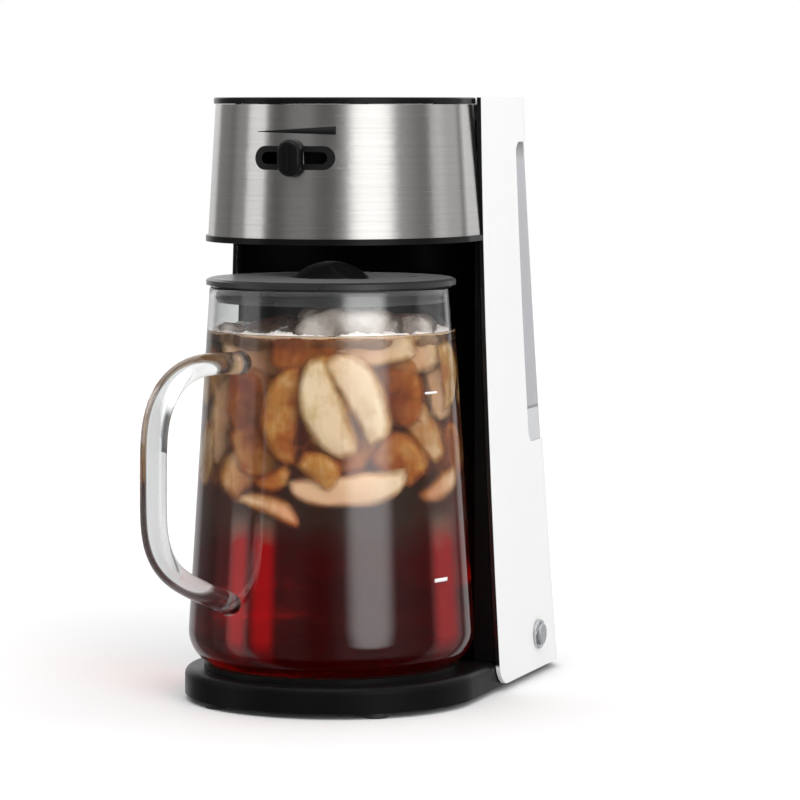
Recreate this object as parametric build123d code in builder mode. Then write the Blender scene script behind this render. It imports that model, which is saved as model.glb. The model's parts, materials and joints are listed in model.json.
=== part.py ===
"""Iced tea maker: a tower that heats and lifts water, a brewing head and a glass pitcher.

All sizes are millimetres. +Z is up, the front faces -Y and the switch is on the +X side.
The origin is on the table, under the middle of the whole object. Most pieces are laid out
around the pitcher's upright axis, so the planes below count y from that axis.
"""

import os
from math import cos, radians, sin

from build123d import *

os.makedirs("parts", exist_ok=True)

# ---- Where the pitcher's axis stands, in front of the origin --------------------------
pitcher_y = -19.4

# ---- Clearances ----------------------------------------------------------------------
seat_gap = 0.3         # between pieces that rest on each other
slip_gap = 0.6         # between pieces that slide past each other
hinge_gap = 0.05       # radial, between a pin and its knuckle

# ---- Glass pitcher -------------------------------------------------------------------
pitcher_h = 199.0      # foot to rim
pitcher_r = 75.8       # outside, at its widest
pitcher_taper = 11.8   # how much less the radius is at the rim
pitcher_foot_in = 13.8     # how much less the radius of the flat foot is
pitcher_belly_h = 18.0     # foot to the widest place
glass_t = 3.0
glass_floor_t = 5.0
handle_turn = 25.0     # degrees from straight forward, towards the left
handle_out = 56.2      # pitcher's widest radius to the outside of the handle
handle_top_drop = 38.0     # rim to the middle of the upper arm
handle_bottom_h = 36.0     # pitcher's foot to the middle of the lower arm, at the wall
handle_slope = 0.2     # rise of the lower arm per millimetre outwards
handle_bend_r = 30.0
handle_w = 16.0        # across
handle_t = 12.0        # towards the pitcher

# ---- Pitcher lid ---------------------------------------------------------------------
pitcher_lid_t = 3.5
pitcher_lid_over = 1.8     # how far the lid reaches past the rim
grip_r = 20.0
grip_h = 8.5
grip_fin_t = 6.0
lid_headroom = 10.5    # grip to the underside of the head

# ---- Base ----------------------------------------------------------------------------
foot_h = 3.0
foot_r = 7.0
base_h = 14.0
base_seat_h = 3.0      # raised disc that the pitcher stands on
base_short_front = 2.6     # pitcher's radius, less the base's reach in front
base_wall = 2.5
base_edge_r = 4.0
ledge_drop = 3.4       # from the base's top down to its ledge inside the tower's shell
plate_t = 2.0
front_foot_in = 7.5    # middle of a front foot to the base's edge
front_foot_turn = 37.8     # degrees from straight forward
rear_foot_in = 20.7    # base's side to the middle of a rear foot
rear_foot_fore = 36.8  # base's rear to the middle of a rear foot
front_screw_in = 20.7
front_screw_back = 12.0    # pitcher's axis to the front screws
rear_screw_in = 16.7
rear_screw_fore = 22.8

# ---- Tower ---------------------------------------------------------------------------
tower_wrap = 36.8      # how far the shell's front edge stands ahead of the pitcher's rear
tower_past_bottom = 6.0    # half the tower's width, less the pitcher's radius
tower_past_middle = -1.7
tower_past_top = -5.8
tower_depth_bottom = 118.8     # front edge to the rear wall
tower_depth_middle = 107.9
tower_depth_top = 91.0
tower_corner_r = 20.0
tower_toe_r = 12.0     # rounding of the shell's lower front corners
shell_t = 2.2
shell_lift = 1.2       # base's foot to the foot of the shell
column_gap = 1.7       # between the pitcher and the hollow column
column_t = 2.5

# ---- Window slots at the rear corners ------------------------------------------------
window_low = 129.0
window_drop = 24.0     # tower's top down to the slot's top
window_back_low = 69.0     # tower's front edge to the slot's foot
window_back_high = 59.0
window_reach = 22.0    # how far the slot reaches in from the tower's side
window_r = 6.0
window_recess = 1.2
window_t = 1.0
window_flange = 3.0

# ---- Head ----------------------------------------------------------------------------
head_floor_t = 3.0
band_h = 69.0
band_t = 0.8
head_in_top = 9.4      # pitcher's radius, less half the head's width
head_in_bottom = 5.3
head_front_in_top = 22.0   # pitcher's radius, less the head's reach in front
head_front_in_bottom = 17.3
head_centre = 17.5     # where the rounded front begins, behind the pitcher's axis
head_to_tower = 1.5    # rear edge of the head to the tower's front edge
trim_proud = 1.1       # how far the head's floor stands out past the band
head_wall = 2.0
deck_drop = 9.0        # top of the band down to the top of the deck
deck_t = 2.5
top_lid_t = 3.0
top_lid_over = 1.0
lid_pin_back = 2.0     # tower's front edge to the lid's hinge pins
lid_pin_r = 1.25
knuckle_r = 2.5
knuckle_w = 5.4
knuckle_in = 16.4      # head's side to the middle of a knuckle

# ---- Brew basket ---------------------------------------------------------------------
basket_room = 19.9     # head's side to the basket's outside, at the top
basket_taper = 6.5
basket_wall = 1.8
basket_rim_w = 4.0
basket_rim_t = 1.5
basket_drop = 6.5      # underside of the basket above the head's floor
filter_wall = 1.0
nozzle_r = 6.0
nozzle_bore_r = 4.0
spreader_t = 2.0

# ---- Strength control ----------------------------------------------------------------
slot_w = 44.0
slot_h = 12.2
slot_drop = 27.5       # band's top to the middle of the slot
knob_w = 13.0
knob_h = 19.0
knob_out = 8.0
lever_w = 8.0
lever_t = 1.8
collar_r = 11.0
collar_bore_r = 9.0
ring_r = 20.0

# ---- Tank ----------------------------------------------------------------------------
tank_wall = 2.0
tank_floor_t = 2.5
tank_back = 17.0       # tower's front edge to the tank's
tank_corner_r = 16.0
tank_step_h = 88.0     # tank's foot to the step in its wall
tank_step = 1.5
shelf_rise = 42.4      # base's ledge to the underside of the shelf
shelf_t = 2.5
tank_lid_t = 3.0
tank_lid_back = 5.6    # tower's front edge to the tank lid's
tank_pin_r = 1.25
tank_knuckle_r = 2.2
tank_knuckle_in = 36.4     # tank's side to the middle of a knuckle
riser_room = 4.5       # riser to the column in front of it
riser_notch_room = 6.0     # riser to the tank beside it
riser_notch_back = 3.5     # riser to the tank behind it
riser_r = 5.0
riser_bore_r = 3.5
valve_x = 30.0
valve_back = 16.5      # riser's axis to the valve's

# ---- Heater --------------------------------------------------------------------------
heater_rise = 20.4     # base's ledge to the middle of the heater
heater_x = -40.0       # middle of the bend
heater_bend_r = 18.0
heater_leg = 24.0
heater_w = 18.0
heater_h = 14.0
tube_r = 4.0
tube_bore_r = 3.0

# ---- Switch and cord inlet -----------------------------------------------------------
switch_back = 69.0     # tower's front edge to the middle of the switch
switch_rise = 18.8     # foot of the tower's shell to the middle of the switch
bezel_r = 8.25
bezel_t = 1.4
button_r = 5.9
button_out = 1.6
button_travel = 1.8
gland_x = -40.0
gland_rise = 18.9      # foot of the tower's shell to the middle of the gland
gland_bore_r = 3.5
gland_r = 5.5
gland_flange_r = 8.5
gland_len = 12.0

# ---- Heights that follow from the stack of pieces ------------------------------------
base_z = foot_h
base_top = base_z + base_h
ledge_z = base_top - ledge_drop
pitcher_z = base_top + base_seat_h
rim_z = pitcher_z + pitcher_h
pitcher_lid_z = rim_z + 1.0
grip_z = pitcher_lid_z + pitcher_lid_t
head_z = grip_z + grip_h + lid_headroom
band_z = head_z + head_floor_t
band_top = band_z + band_h
top_lid_z = band_top + 0.5
top_z = top_lid_z + top_lid_t
shell_z = base_z + shell_lift
deck_top = band_top - deck_drop
deck_z = deck_top - deck_t
slot_z = band_top - slot_drop
lid_pin_z = top_z - knuckle_r
window_high = top_z - window_drop
shelf_z = ledge_z + shelf_rise
heater_z = ledge_z + heater_rise
switch_z = shell_z + switch_rise
gland_z = shell_z + gland_rise

# ---- Widths and depths that follow from the pitcher ----------------------------------
pitcher_rim_r = pitcher_r - pitcher_taper
pitcher_foot_r = pitcher_r - pitcher_foot_in
handle_reach = pitcher_r + handle_out
handle_top_h = pitcher_h - handle_top_drop
base_front = pitcher_r - base_short_front
column_r = pitcher_r + column_gap
column_back_r = column_r + column_t
tower_half_bottom = pitcher_r + tower_past_bottom
tower_half_middle = pitcher_r + tower_past_middle
tower_half_top = pitcher_r + tower_past_top
tower_front = pitcher_r - tower_wrap
tower_rear_bottom = tower_front + tower_depth_bottom
tower_rear_middle = tower_front + tower_depth_middle
tower_rear_top = tower_front + tower_depth_top
window_front_low = tower_front + window_back_low
window_front_high = tower_front + window_back_high
window_reach_in = tower_half_top - window_reach
head_half_top = pitcher_r - head_in_top
head_half_bottom = pitcher_r - head_in_bottom
head_front_top = pitcher_r - head_front_in_top
head_front_bottom = pitcher_r - head_front_in_bottom
head_rear = tower_front - head_to_tower
lid_pin_y = tower_front + lid_pin_back
knuckle_x = head_half_top - knuckle_in
basket_r = head_half_top - basket_room
basket_foot_r = basket_r - basket_taper
tank_front = tower_front + tank_back
tank_lid_front = tower_front + tank_lid_back
riser_y = column_back_r + riser_r + riser_room
riser_notch_half = riser_r + riser_notch_room
riser_notch_rear = riser_y + riser_r + riser_notch_back
valve_y = riser_y + valve_back
switch_y = tower_front + switch_back
basket_z = band_z + basket_drop
basket_top = deck_top + basket_rim_t
well_r = basket_r + 0.7
ring_z = band_z + 2.0
tank_half = tower_half_top - shell_t - 1.4
tank_knuckle_x = tank_half - tank_knuckle_in
tank_rear = tower_rear_top - shell_t - 0.8
tank_z = shelf_z + shelf_t + seat_gap
tank_top = top_lid_z - 0.8
tank_front_r = column_back_r + 1.5
inner = shell_t + slip_gap      # inset of what stands inside the shell


# ---- Planes and shared shapes --------------------------------------------------------
def level(z, x=0.0, y=0.0):
    """Horizontal plane at height z, with its origin y behind the pitcher's axis."""
    return Plane(origin=(x, pitcher_y + y, z))


def facing_front(y=0.0, x=0.0, z=0.0):
    """Upright plane that looks forward: its x is the model's x and its y is height."""
    return Plane(origin=(x, pitcher_y + y, z), x_dir=(1, 0, 0), z_dir=(0, -1, 0))


def facing_right(x=0.0, y=0.0, z=0.0):
    """Upright plane that looks right: its x is the model's y and its y is height."""
    return Plane(origin=(x, pitcher_y + y, z), x_dir=(0, 1, 0), z_dir=(1, 0, 0))


def upright(x=0.0, y=0.0):
    """Vertical axis through a point counted from the pitcher's axis."""
    return Axis((x, pitcher_y + y, 0), (0, 0, 1))


def bowed(z, bottom, middle, top):
    """Height z on the parabola through three values: tower's foot, middle and top."""
    t = (z - shell_z) / (top_z - shell_z)
    return bottom * (1 - t) * (1 - 2 * t) + 4 * middle * t * (1 - t) + top * t * (2 * t - 1)


def tower_half(z):
    """Half the tower's width at height z."""
    return bowed(z, tower_half_bottom, tower_half_middle, tower_half_top)


def tower_rear(z):
    """Tower's rear wall at height z, behind the pitcher's axis."""
    return bowed(z, tower_rear_bottom, tower_rear_middle, tower_rear_top)


# the base's rear stands inside the tower's shell
base_half = tower_half(ledge_z) - shell_t - seat_gap
base_rear = tower_rear(ledge_z) - shell_t - seat_gap


def tower_plan(z, inset, front):
    """The tower's plan at height z, square in front and round at its rear corners."""
    half = tower_half(z) - inset
    rear = tower_rear(z) - inset
    with BuildSketch(level(z)) as plan:
        with BuildLine():
            Polyline((-half, front), (half, front), (half, rear), (-half, rear), close=True)
        make_face()
        fillet(plan.vertices().group_by(Axis.Y)[-1], tower_corner_r - inset)
    return plan.sketch


def tower_plans(low, high, inset, front):
    """Four plans of the tower from low to high, to be lofted."""
    return [tower_plan(low + (high - low) * i / 3, inset, front) for i in range(4)]


def head_plan(z, inset, rear):
    """The head's plan at height z: straight sides and a rounded front."""
    t = (z - band_z) / band_h
    half = head_half_bottom + (head_half_top - head_half_bottom) * t - inset
    front = head_front_bottom + (head_front_top - head_front_bottom) * t - inset
    with BuildSketch(level(z)) as plan:
        with BuildLine():
            EllipticalCenterArc((0, head_centre), half, head_centre + front, 180, arc_size=180)
            Polyline((half, head_centre), (half, rear), (-half, rear), (-half, head_centre))
        make_face()
    return plan.sketch


def head_plans(low, high, inset, rear):
    """The head's plans at two heights, to be lofted."""
    return [head_plan(low, inset, rear), head_plan(high, inset, rear)]


def pitcher_wall_r(z):
    """Outside radius of the pitcher's tapered wall at height z."""
    slope = (pitcher_r - pitcher_rim_r) / (pitcher_h - pitcher_belly_h)
    return pitcher_r - (z - pitcher_z - pitcher_belly_h) * slope


def spring_coil(plane, radius, height, turns, wire_r):
    """A helical spring that stands on a plane."""
    with BuildPart() as coil:
        with BuildLine():
            path = Helix(pitch=height / turns, height=height, radius=radius)
        with BuildSketch(Plane(origin=path @ 0, z_dir=path % 0)):
            Circle(wire_r)
        sweep(path=path)
    return coil.part.moved(plane.location)


def save(piece, name):
    """Label a finished piece and write it to its own file."""
    piece.label = name
    export_step(piece, f"parts/{name}.step")


# ======================================================================================
# Base
# ======================================================================================
foot_turn = radians(front_foot_turn)
front_foot = (
    (base_half - front_foot_in) * sin(foot_turn),
    (front_foot_in - base_front) * cos(foot_turn),
)
rear_foot = (base_half - rear_foot_in, base_rear - rear_foot_fore)
front_screw = (base_half - front_screw_in, front_screw_back)
rear_screw = (base_half - rear_screw_in, base_rear - rear_screw_fore)
screw_spots = [
    (side * x, y)
    for x, y in (front_screw, rear_screw)
    for side in (-1, 1)
]
foot_spots = {
    f"foot_{end}_{name}": (side * x, y)
    for end, (x, y) in (("front", front_foot), ("rear", rear_foot))
    for name, side in (("left", -1), ("right", 1))
}
screw_head_r = 3.0
screw_shank_r = 1.5
screw_boss_r = 4.0
peg_r = 3.0
post_r = 5.0


def base_plan(z, inset):
    """The base's plan: a rounded front, straight sides and round rear corners."""
    with BuildSketch(level(z)) as plan:
        with BuildLine():
            EllipticalCenterArc((0, 0), base_half - inset, base_front - inset, 180, arc_size=180)
            Polyline(
                (base_half - inset, 0),
                (base_half - inset, base_rear - inset),
                (inset - base_half, base_rear - inset),
                (inset - base_half, 0),
            )
        make_face()
        fillet(plan.vertices().group_by(Axis.Y)[-1], tower_corner_r - shell_t - seat_gap - inset)
    return plan.sketch


with BuildPart() as base_shell:
    extrude(base_plan(base_z, 0), amount=base_h)
    fillet(base_shell.faces().sort_by(Axis.Z)[-1].edges(), base_edge_r)
    # the rear is lower, inside the tower
    with BuildSketch(level(ledge_z)):
        with Locations((0, tower_front + 200)):
            Rectangle(400, 400 - 1.0)
    extrude(amount=base_h, mode=Mode.SUBTRACT)
    with BuildSketch(level(base_top - 1.0)):
        Circle(pitcher_r - 8.0)
    extrude(amount=base_seat_h + 1.0 - seat_gap)
    extrude(base_plan(base_z, base_wall), amount=base_h - ledge_drop - base_wall, mode=Mode.SUBTRACT)
    # bosses for the screws, and posts that carry the heater
    with BuildSketch(level(base_z + plate_t + seat_gap)):
        with Locations(*screw_spots):
            Circle(screw_boss_r)
    extrude(until=Until.NEXT)
    with BuildSketch(level(base_z + plate_t + seat_gap)):
        with Locations(*screw_spots):
            Circle(screw_shank_r)
    extrude(amount=6.0, mode=Mode.SUBTRACT)
    with BuildSketch(level(ledge_z - 1.0)):
        with Locations((heater_x, riser_y + heater_bend_r)):
            Circle(post_r)
    extrude(amount=heater_z + heater_h / 2 - ledge_z + 1.0 - seat_gap)
    with BuildSketch(level(heater_z - 2)):
        with Locations((heater_x, riser_y + heater_bend_r)):
            Circle(screw_shank_r)
    extrude(amount=heater_h, mode=Mode.SUBTRACT)
    with BuildSketch(level(ledge_z - 1.0)):
        with Locations((heater_x + 14, riser_y), (heater_x + 14, riser_y + 2 * heater_bend_r)):
            Circle(post_r)
    extrude(amount=heater_z - heater_h / 2 - ledge_z + 1.0 - seat_gap)
save(base_shell.part, "base_shell")

with BuildPart() as bottom_plate:
    extrude(base_plan(base_z, base_wall + seat_gap), amount=plate_t)
    with Locations(level(base_z)):
        with Locations(*[(x, y) for x, y in screw_spots]):
            Hole(screw_shank_r + 0.2)
        with Locations(*foot_spots.values()):
            Hole(peg_r + 0.05)
save(bottom_plate.part, "bottom_plate")

for name, spot in foot_spots.items():
    with BuildPart() as foot:
        with BuildSketch(level(0)):
            with Locations(spot):
                Circle(foot_r)
        extrude(amount=foot_h - 0.05)
        chamfer(foot.faces().sort_by(Axis.Z)[0].edges(), 0.6)
        with BuildSketch(level(foot_h - 0.05)):
            with Locations(spot):
                Circle(peg_r)
        extrude(amount=plate_t + 1.0)
    save(foot.part, name)

with BuildPart() as base_screws:
    with BuildSketch(level(base_z - 1.8)):
        with Locations(*screw_spots):
            Circle(screw_head_r)
    extrude(amount=1.75)
    with BuildSketch(level(base_z - 0.05)):
        with Locations(*screw_spots):
            Circle(screw_shank_r - 0.05)
    extrude(amount=7.5)
save(base_screws.part, "base_screws")

# ======================================================================================
# Tower
# ======================================================================================
with BuildPart() as column_core:
    loft(tower_plans(base_z, head_z + 5, inner + column_t, tower_front + 0.4 + column_t))
    with BuildSketch(level(base_z)):
        Circle(column_back_r)
    extrude(amount=top_z, mode=Mode.SUBTRACT)

with BuildPart() as column_front:
    loft(tower_plans(base_top + seat_gap, head_z - seat_gap, inner, tower_front + 0.4))
    with BuildSketch(level(base_z)):
        Circle(column_r)
    extrude(amount=top_z, mode=Mode.SUBTRACT)
    # hollow it from behind, which leaves the curved wall, two lands and short side walls
    add(column_core.part, mode=Mode.SUBTRACT)
    with BuildSketch(level(base_z)):
        with Locations((0, tank_front - 1.5)):
            Rectangle(300, 200, align=(Align.CENTER, Align.MIN))
        Circle(column_back_r, mode=Mode.SUBTRACT)
    extrude(amount=top_z, mode=Mode.SUBTRACT)
save(column_front.part, "column_front")


def window_outline(margin, side):
    """A window slot seen from the side, grown by a margin, ready to be cut through x."""
    low, high = window_low - margin, window_high + margin
    lean = (window_front_high - window_front_low) / (window_high - window_low)
    front_low = window_front_low - margin * (1 + lean)
    front_high = window_front_high - margin * (1 - lean)
    start = window_reach_in - margin
    with BuildPart() as slot:
        with BuildSketch(facing_right(side * start)) as outline:
            with BuildLine():
                Polyline((front_low, low), (200, low), (200, high), (front_high, high), close=True)
            make_face()
            fillet(outline.vertices().group_by(Axis.Y)[0] + outline.vertices().group_by(Axis.Y)[1],
                   window_r)
        extrude(amount=side * 100)
    return slot.part


sides = {"left": -1, "right": 1}
window_holes = {name: window_outline(0, side) for name, side in sides.items()}
window_plugs = {name: window_outline(-0.2, side) for name, side in sides.items()}
window_flanges = {name: window_outline(window_flange, side) for name, side in sides.items()}

with BuildPart() as rear_shell:
    loft(tower_plans(shell_z, top_z, 0, tower_front))
    loft(tower_plans(shell_z, top_z, shell_t, tower_front - 10), mode=Mode.SUBTRACT)
    # rounded lower front corners
    with BuildSketch(facing_right(-100)):
        with Locations((tower_front, shell_z)):
            Rectangle(tower_toe_r, tower_toe_r, align=(Align.MIN, Align.MIN))
        with Locations((tower_front + tower_toe_r, shell_z + tower_toe_r)):
            Circle(tower_toe_r, mode=Mode.SUBTRACT)
    extrude(amount=200, mode=Mode.SUBTRACT)
    add(list(window_holes.values()), mode=Mode.SUBTRACT)
    with BuildSketch(facing_right(tower_half_top - 5, switch_y, switch_z)):
        Circle(bezel_r - 1.15)
    extrude(amount=30, mode=Mode.SUBTRACT)
    # notch for the cord's gland, open at the shell's foot
    with BuildSketch(facing_front(tower_rear_middle - 5, gland_x, gland_z)):
        with Locations((0, gland_r + 0.1)):
            Rectangle(2 * gland_r + 0.2, gland_rise + gland_r + 5, align=(Align.CENTER, Align.MAX))
    extrude(amount=-30, mode=Mode.SUBTRACT)
save(rear_shell.part, "rear_shell")

for name in sides:
    with BuildPart() as sight_window:
        low, high = window_low - 5, window_high + 5
        loft(tower_plans(low, high, window_recess, tower_front))
        loft(tower_plans(low, high, shell_t + 0.1, tower_front - 10), mode=Mode.SUBTRACT)
        add(window_plugs[name], mode=Mode.INTERSECT)
    with BuildPart() as window_back:
        loft(tower_plans(low, high, shell_t + 0.1, tower_front))
        loft(tower_plans(low, high, shell_t + 0.1 + window_t, tower_front - 10), mode=Mode.SUBTRACT)
        add(window_flanges[name], mode=Mode.INTERSECT)
        add(sight_window.part)
    save(window_back.part, f"sight_window_{name}")

with BuildPart() as tank_shelf:
    loft([tower_plan(z, inner, tower_front + 28) for z in (shelf_z, shelf_z + shelf_t)])
    with BuildSketch(level(shelf_z)):
        Circle(column_back_r + slip_gap)
    extrude(amount=shelf_t, mode=Mode.SUBTRACT)
    with Locations(level(shelf_z)):
        with Locations((valve_x, valve_y)):
            Hole(12.2)
        with Locations((0, riser_y)):
            Hole(riser_r + 0.2)
save(tank_shelf.part, "tank_shelf")

# ======================================================================================
# Head
# ======================================================================================
neck_half = head_half_top - band_t - 0.4
body_inset = band_t + 0.2
ear_t = 3.4
ear_step = (knuckle_w + ear_t) / 2 + 0.3
lid_boss_r = 3.4
boss_spots = [
    (side * x, y)
    for x, y in ((head_half_top - 10.4, -2.0), (head_half_top - 14.4, head_rear - 7.5))
    for side in (-1, 1)
]
well_t = 1.6
well_z = ring_z + lever_t + 0.6
neck_t = 4.0
slot_front = head_front_bottom + (head_front_top - head_front_bottom) * (slot_z - band_z) / band_h
knob_back = slot_front + 1.5
knob_front = slot_front + knob_out
lever_in = well_r + well_t + 0.8
lever_out = lever_in + lever_t


def neck_plan(z, inset):
    """The part of the head that reaches into the tower, as far as the column's curved wall."""
    with BuildSketch(level(z)) as plan:
        with Locations((0, head_rear - 1)):
            Rectangle(2 * (neck_half - inset), 100, align=(Align.CENTER, Align.MIN))
        Circle(column_back_r - inset, mode=Mode.INTERSECT)
    return plan.sketch


with BuildPart() as head_body:
    # wall that the steel band is wrapped around
    loft(head_plans(band_z + seat_gap, band_top - seat_gap, body_inset, head_rear))
    loft(
        head_plans(band_z, band_top, body_inset + head_wall, head_rear + 20),
        mode=Mode.SUBTRACT,
    )
    # wall across the tower, over the column's top edge
    extrude(neck_plan(band_z + seat_gap, 0), amount=deck_z - band_z)
    with BuildSketch(level(band_z)):
        Circle(column_r)
        with Locations((0, head_rear + 3)):
            Rectangle(2 * (neck_half - head_wall), 8, mode=Mode.ADD)
        with Locations((0, head_rear)):
            Rectangle(3 * column_r, 2 * column_r, align=(Align.CENTER, Align.MAX),
                      mode=Mode.SUBTRACT)
    extrude(amount=deck_z - band_z, mode=Mode.SUBTRACT)
    # deck, with the wall of the brewing well and the screw bosses under it
    extrude(neck_plan(deck_z, 0), amount=deck_t)
    extrude(head_plan(deck_z, body_inset + 1, head_rear), amount=deck_t)
    with BuildSketch(level(well_z)):
        Circle(well_r + well_t)
    extrude(amount=deck_z - well_z)
    with BuildSketch(level(band_z + seat_gap)):
        with Locations(*boss_spots):
            Circle(lid_boss_r)
    extrude(amount=deck_z - band_z)
    with BuildSketch(level(band_z)):
        Circle(well_r)
    extrude(amount=band_h, mode=Mode.SUBTRACT)
    with BuildSketch(level(band_z)):
        with Locations(*boss_spots):
            Circle(screw_shank_r)
    extrude(amount=8.0, mode=Mode.SUBTRACT)
    with BuildSketch(facing_front(0, 0, slot_z)):
        SlotOverall(slot_w - 6, slot_h - 4)
    extrude(amount=80, mode=Mode.SUBTRACT)
    # ears for the lid's hinge pins
    for side in (-1, 1):
        for step in (-ear_step, ear_step):
            with BuildSketch(facing_right(side * knuckle_x + step - ear_t / 2, lid_pin_y)):
                with Locations((0, deck_top - 1)):
                    Rectangle(2 * knuckle_r, lid_pin_z - deck_top + 1, align=(Align.CENTER, Align.MIN))
                with Locations((0, lid_pin_z)):
                    Circle(knuckle_r)
                    Circle(lid_pin_r, mode=Mode.SUBTRACT)
            extrude(amount=ear_t)
save(head_body.part, "head_body")

with BuildPart() as head_floor:
    extrude(head_plan(head_z, -trim_proud, head_rear), amount=head_floor_t)
    extrude(neck_plan(head_z, 0), amount=head_floor_t)
    with BuildSketch(level(band_z)):
        Circle(collar_r)
    extrude(amount=ring_z - band_z + lever_t + 0.7)
    with BuildSketch(level(band_z)):
        Circle(collar_r + 2)
    extrude(amount=ring_z - band_z - 0.2)
    with BuildSketch(level(head_z)):
        Circle(collar_bore_r)
    extrude(amount=20, mode=Mode.SUBTRACT)
    with Locations(Plane(origin=(0, pitcher_y, head_z), x_dir=(1, 0, 0), z_dir=(0, 0, -1))):
        with Locations(*[(x, -y) for x, y in boss_spots]):
            CounterBoreHole(screw_shank_r + 0.2, screw_head_r + 0.2, 1.9)
save(head_floor.part, "head_floor")

with BuildPart() as head_screws:
    with BuildSketch(level(head_z + 0.1)):
        with Locations(*boss_spots):
            Circle(screw_head_r)
    extrude(amount=1.75)
    with BuildSketch(level(head_z + 1.8)):
        with Locations(*boss_spots):
            Circle(screw_shank_r - 0.05)
    extrude(amount=7.5)
save(head_screws.part, "head_screws")

with BuildPart() as steel_band:
    loft(head_plans(band_z + 0.1, band_top - 0.1, 0, head_rear))
    loft(head_plans(band_z, band_top, band_t, head_rear + 20), mode=Mode.SUBTRACT)
    with BuildSketch(facing_front(0, 0, slot_z)):
        SlotOverall(slot_w, slot_h)
    extrude(amount=80, mode=Mode.SUBTRACT)
save(steel_band.part, "steel_band")

with BuildPart() as slot_bezel:
    loft(head_plans(band_z + 10, band_top - 10, 0.1, head_rear))
    loft(head_plans(band_z, band_top, band_t + 0.1, head_rear + 20), mode=Mode.SUBTRACT)
    with BuildSketch(facing_front(0, 0, slot_z)):
        SlotOverall(slot_w - 0.4, slot_h - 0.4)
        SlotOverall(slot_w - 8, slot_h - 6, mode=Mode.SUBTRACT)
    extrude(amount=80, mode=Mode.INTERSECT)
save(slot_bezel.part, "slot_bezel")

# ---- Strength control ----------------------------------------------------------------
with BuildPart() as strength_lever:
    with BuildSketch(level(ring_z)):
        Circle(ring_r)
        with Locations((0, -lever_out)):
            Rectangle(lever_w, lever_out, align=(Align.CENTER, Align.MIN))
        Circle(collar_r + hinge_gap, mode=Mode.SUBTRACT)
    extrude(amount=lever_t)
    with BuildSketch(level(ring_z, 0, -lever_out)):
        Rectangle(lever_w, lever_t, align=(Align.CENTER, Align.MIN))
    extrude(amount=slot_z - ring_z + neck_t)
    with BuildSketch(facing_front(-lever_in, 0, slot_z)):
        Rectangle(neck_t, neck_t)
    extrude(amount=knob_back + 3 - lever_in)
save(strength_lever.part, "strength_lever")

with BuildPart() as strength_knob:
    with BuildSketch(facing_front(-knob_back, 0, slot_z)):
        SlotOverall(knob_h, knob_w, rotation=90)
    extrude(amount=knob_front - knob_back - 1)
    fillet(strength_knob.faces().sort_by(Axis.Y)[0].edges(), 2.4)
    with BuildSketch(facing_front(-knob_back - 2, 0, slot_z)):
        SlotOverall(knob_h - 5, 2.2, rotation=90)
    extrude(amount=knob_front - knob_back - 2)
    with BuildSketch(facing_front(-knob_back, 0, slot_z)):
        Rectangle(neck_t, neck_t)
    extrude(amount=3, mode=Mode.SUBTRACT)
save(strength_knob.part, "strength_knob")

# ---- Brew basket and filter ----------------------------------------------------------
basket_lean = (basket_r - basket_foot_r) / (deck_top - basket_z)
filter_gap = 0.5
filter_z = basket_z + 2.0 + filter_gap
filter_top = deck_top - 5.0
mesh_t = 0.4


def cup(bottom, top, bottom_r, lean, wall, floor):
    """A round cup with leaning sides, its foot on the pitcher's axis."""
    top_r = bottom_r + (top - bottom) * lean
    with BuildPart() as shape:
        with BuildSketch(facing_front()):
            with BuildLine():
                Polyline(
                    (0, bottom),
                    (bottom_r, bottom),
                    (top_r, top),
                    (top_r - wall, top),
                    (bottom_r - wall + floor * lean, bottom + floor),
                    (0, bottom + floor),
                    close=True,
                )
            make_face()
        revolve(axis=upright())
    return shape.part


basket_cup = cup(basket_z, basket_top, basket_foot_r, basket_lean, basket_wall, 2.0)
filter_foot_r = basket_foot_r - basket_wall - filter_gap
filter_cup = cup(filter_z, filter_top, filter_foot_r, basket_lean, filter_wall, filter_wall)
mesh_cup = cup(filter_z + filter_wall + 0.1, filter_top - 2, filter_foot_r - filter_wall - 0.1,
               basket_lean, mesh_t, mesh_t)

with BuildPart() as brew_basket:
    add(basket_cup)
    with BuildSketch(level(deck_top)):
        Circle(basket_r + basket_rim_w)
        Circle(basket_r - 0.5, mode=Mode.SUBTRACT)
    extrude(amount=basket_rim_t)
    with BuildSketch(level(head_z + 1.5)):
        Circle(nozzle_r)
    extrude(amount=basket_z - head_z - 0.5)
    with BuildSketch(level(head_z)):
        Circle(nozzle_bore_r)
    extrude(amount=basket_z + 3 - head_z, mode=Mode.SUBTRACT)
save(brew_basket.part, "brew_basket")

with BuildPart() as permanent_filter:
    add(filter_cup)
    with Locations(level((filter_z + filter_top) / 2)):
        with PolarLocations(filter_foot_r, 8):
            Box(16, 20, filter_top - filter_z - 14, mode=Mode.SUBTRACT)
    with Locations(level(filter_z)):
        with PolarLocations(filter_foot_r * 0.55, 6):
            Cylinder(8, 8, mode=Mode.SUBTRACT)
save(permanent_filter.part, "permanent_filter")

save(mesh_cup, "filter_mesh")

with BuildPart() as spreader_plate:
    with BuildSketch(level(filter_top + seat_gap)):
        Circle(basket_r - basket_wall - 1.6)
        for ring, count in ((10, 6), (20, 12), (30, 18)):
            with PolarLocations(ring, count):
                Circle(1.2, mode=Mode.SUBTRACT)
    extrude(amount=spreader_t)
save(spreader_plate.part, "spreader_plate")

# ---- Water way over the basket -------------------------------------------------------
spout_z = basket_top + 0.4
spout_h = 5.0
spout_tip = basket_r - 8.5
spout_half = riser_r + 2.0
spout_socket_z = spout_z - 11.0

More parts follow.
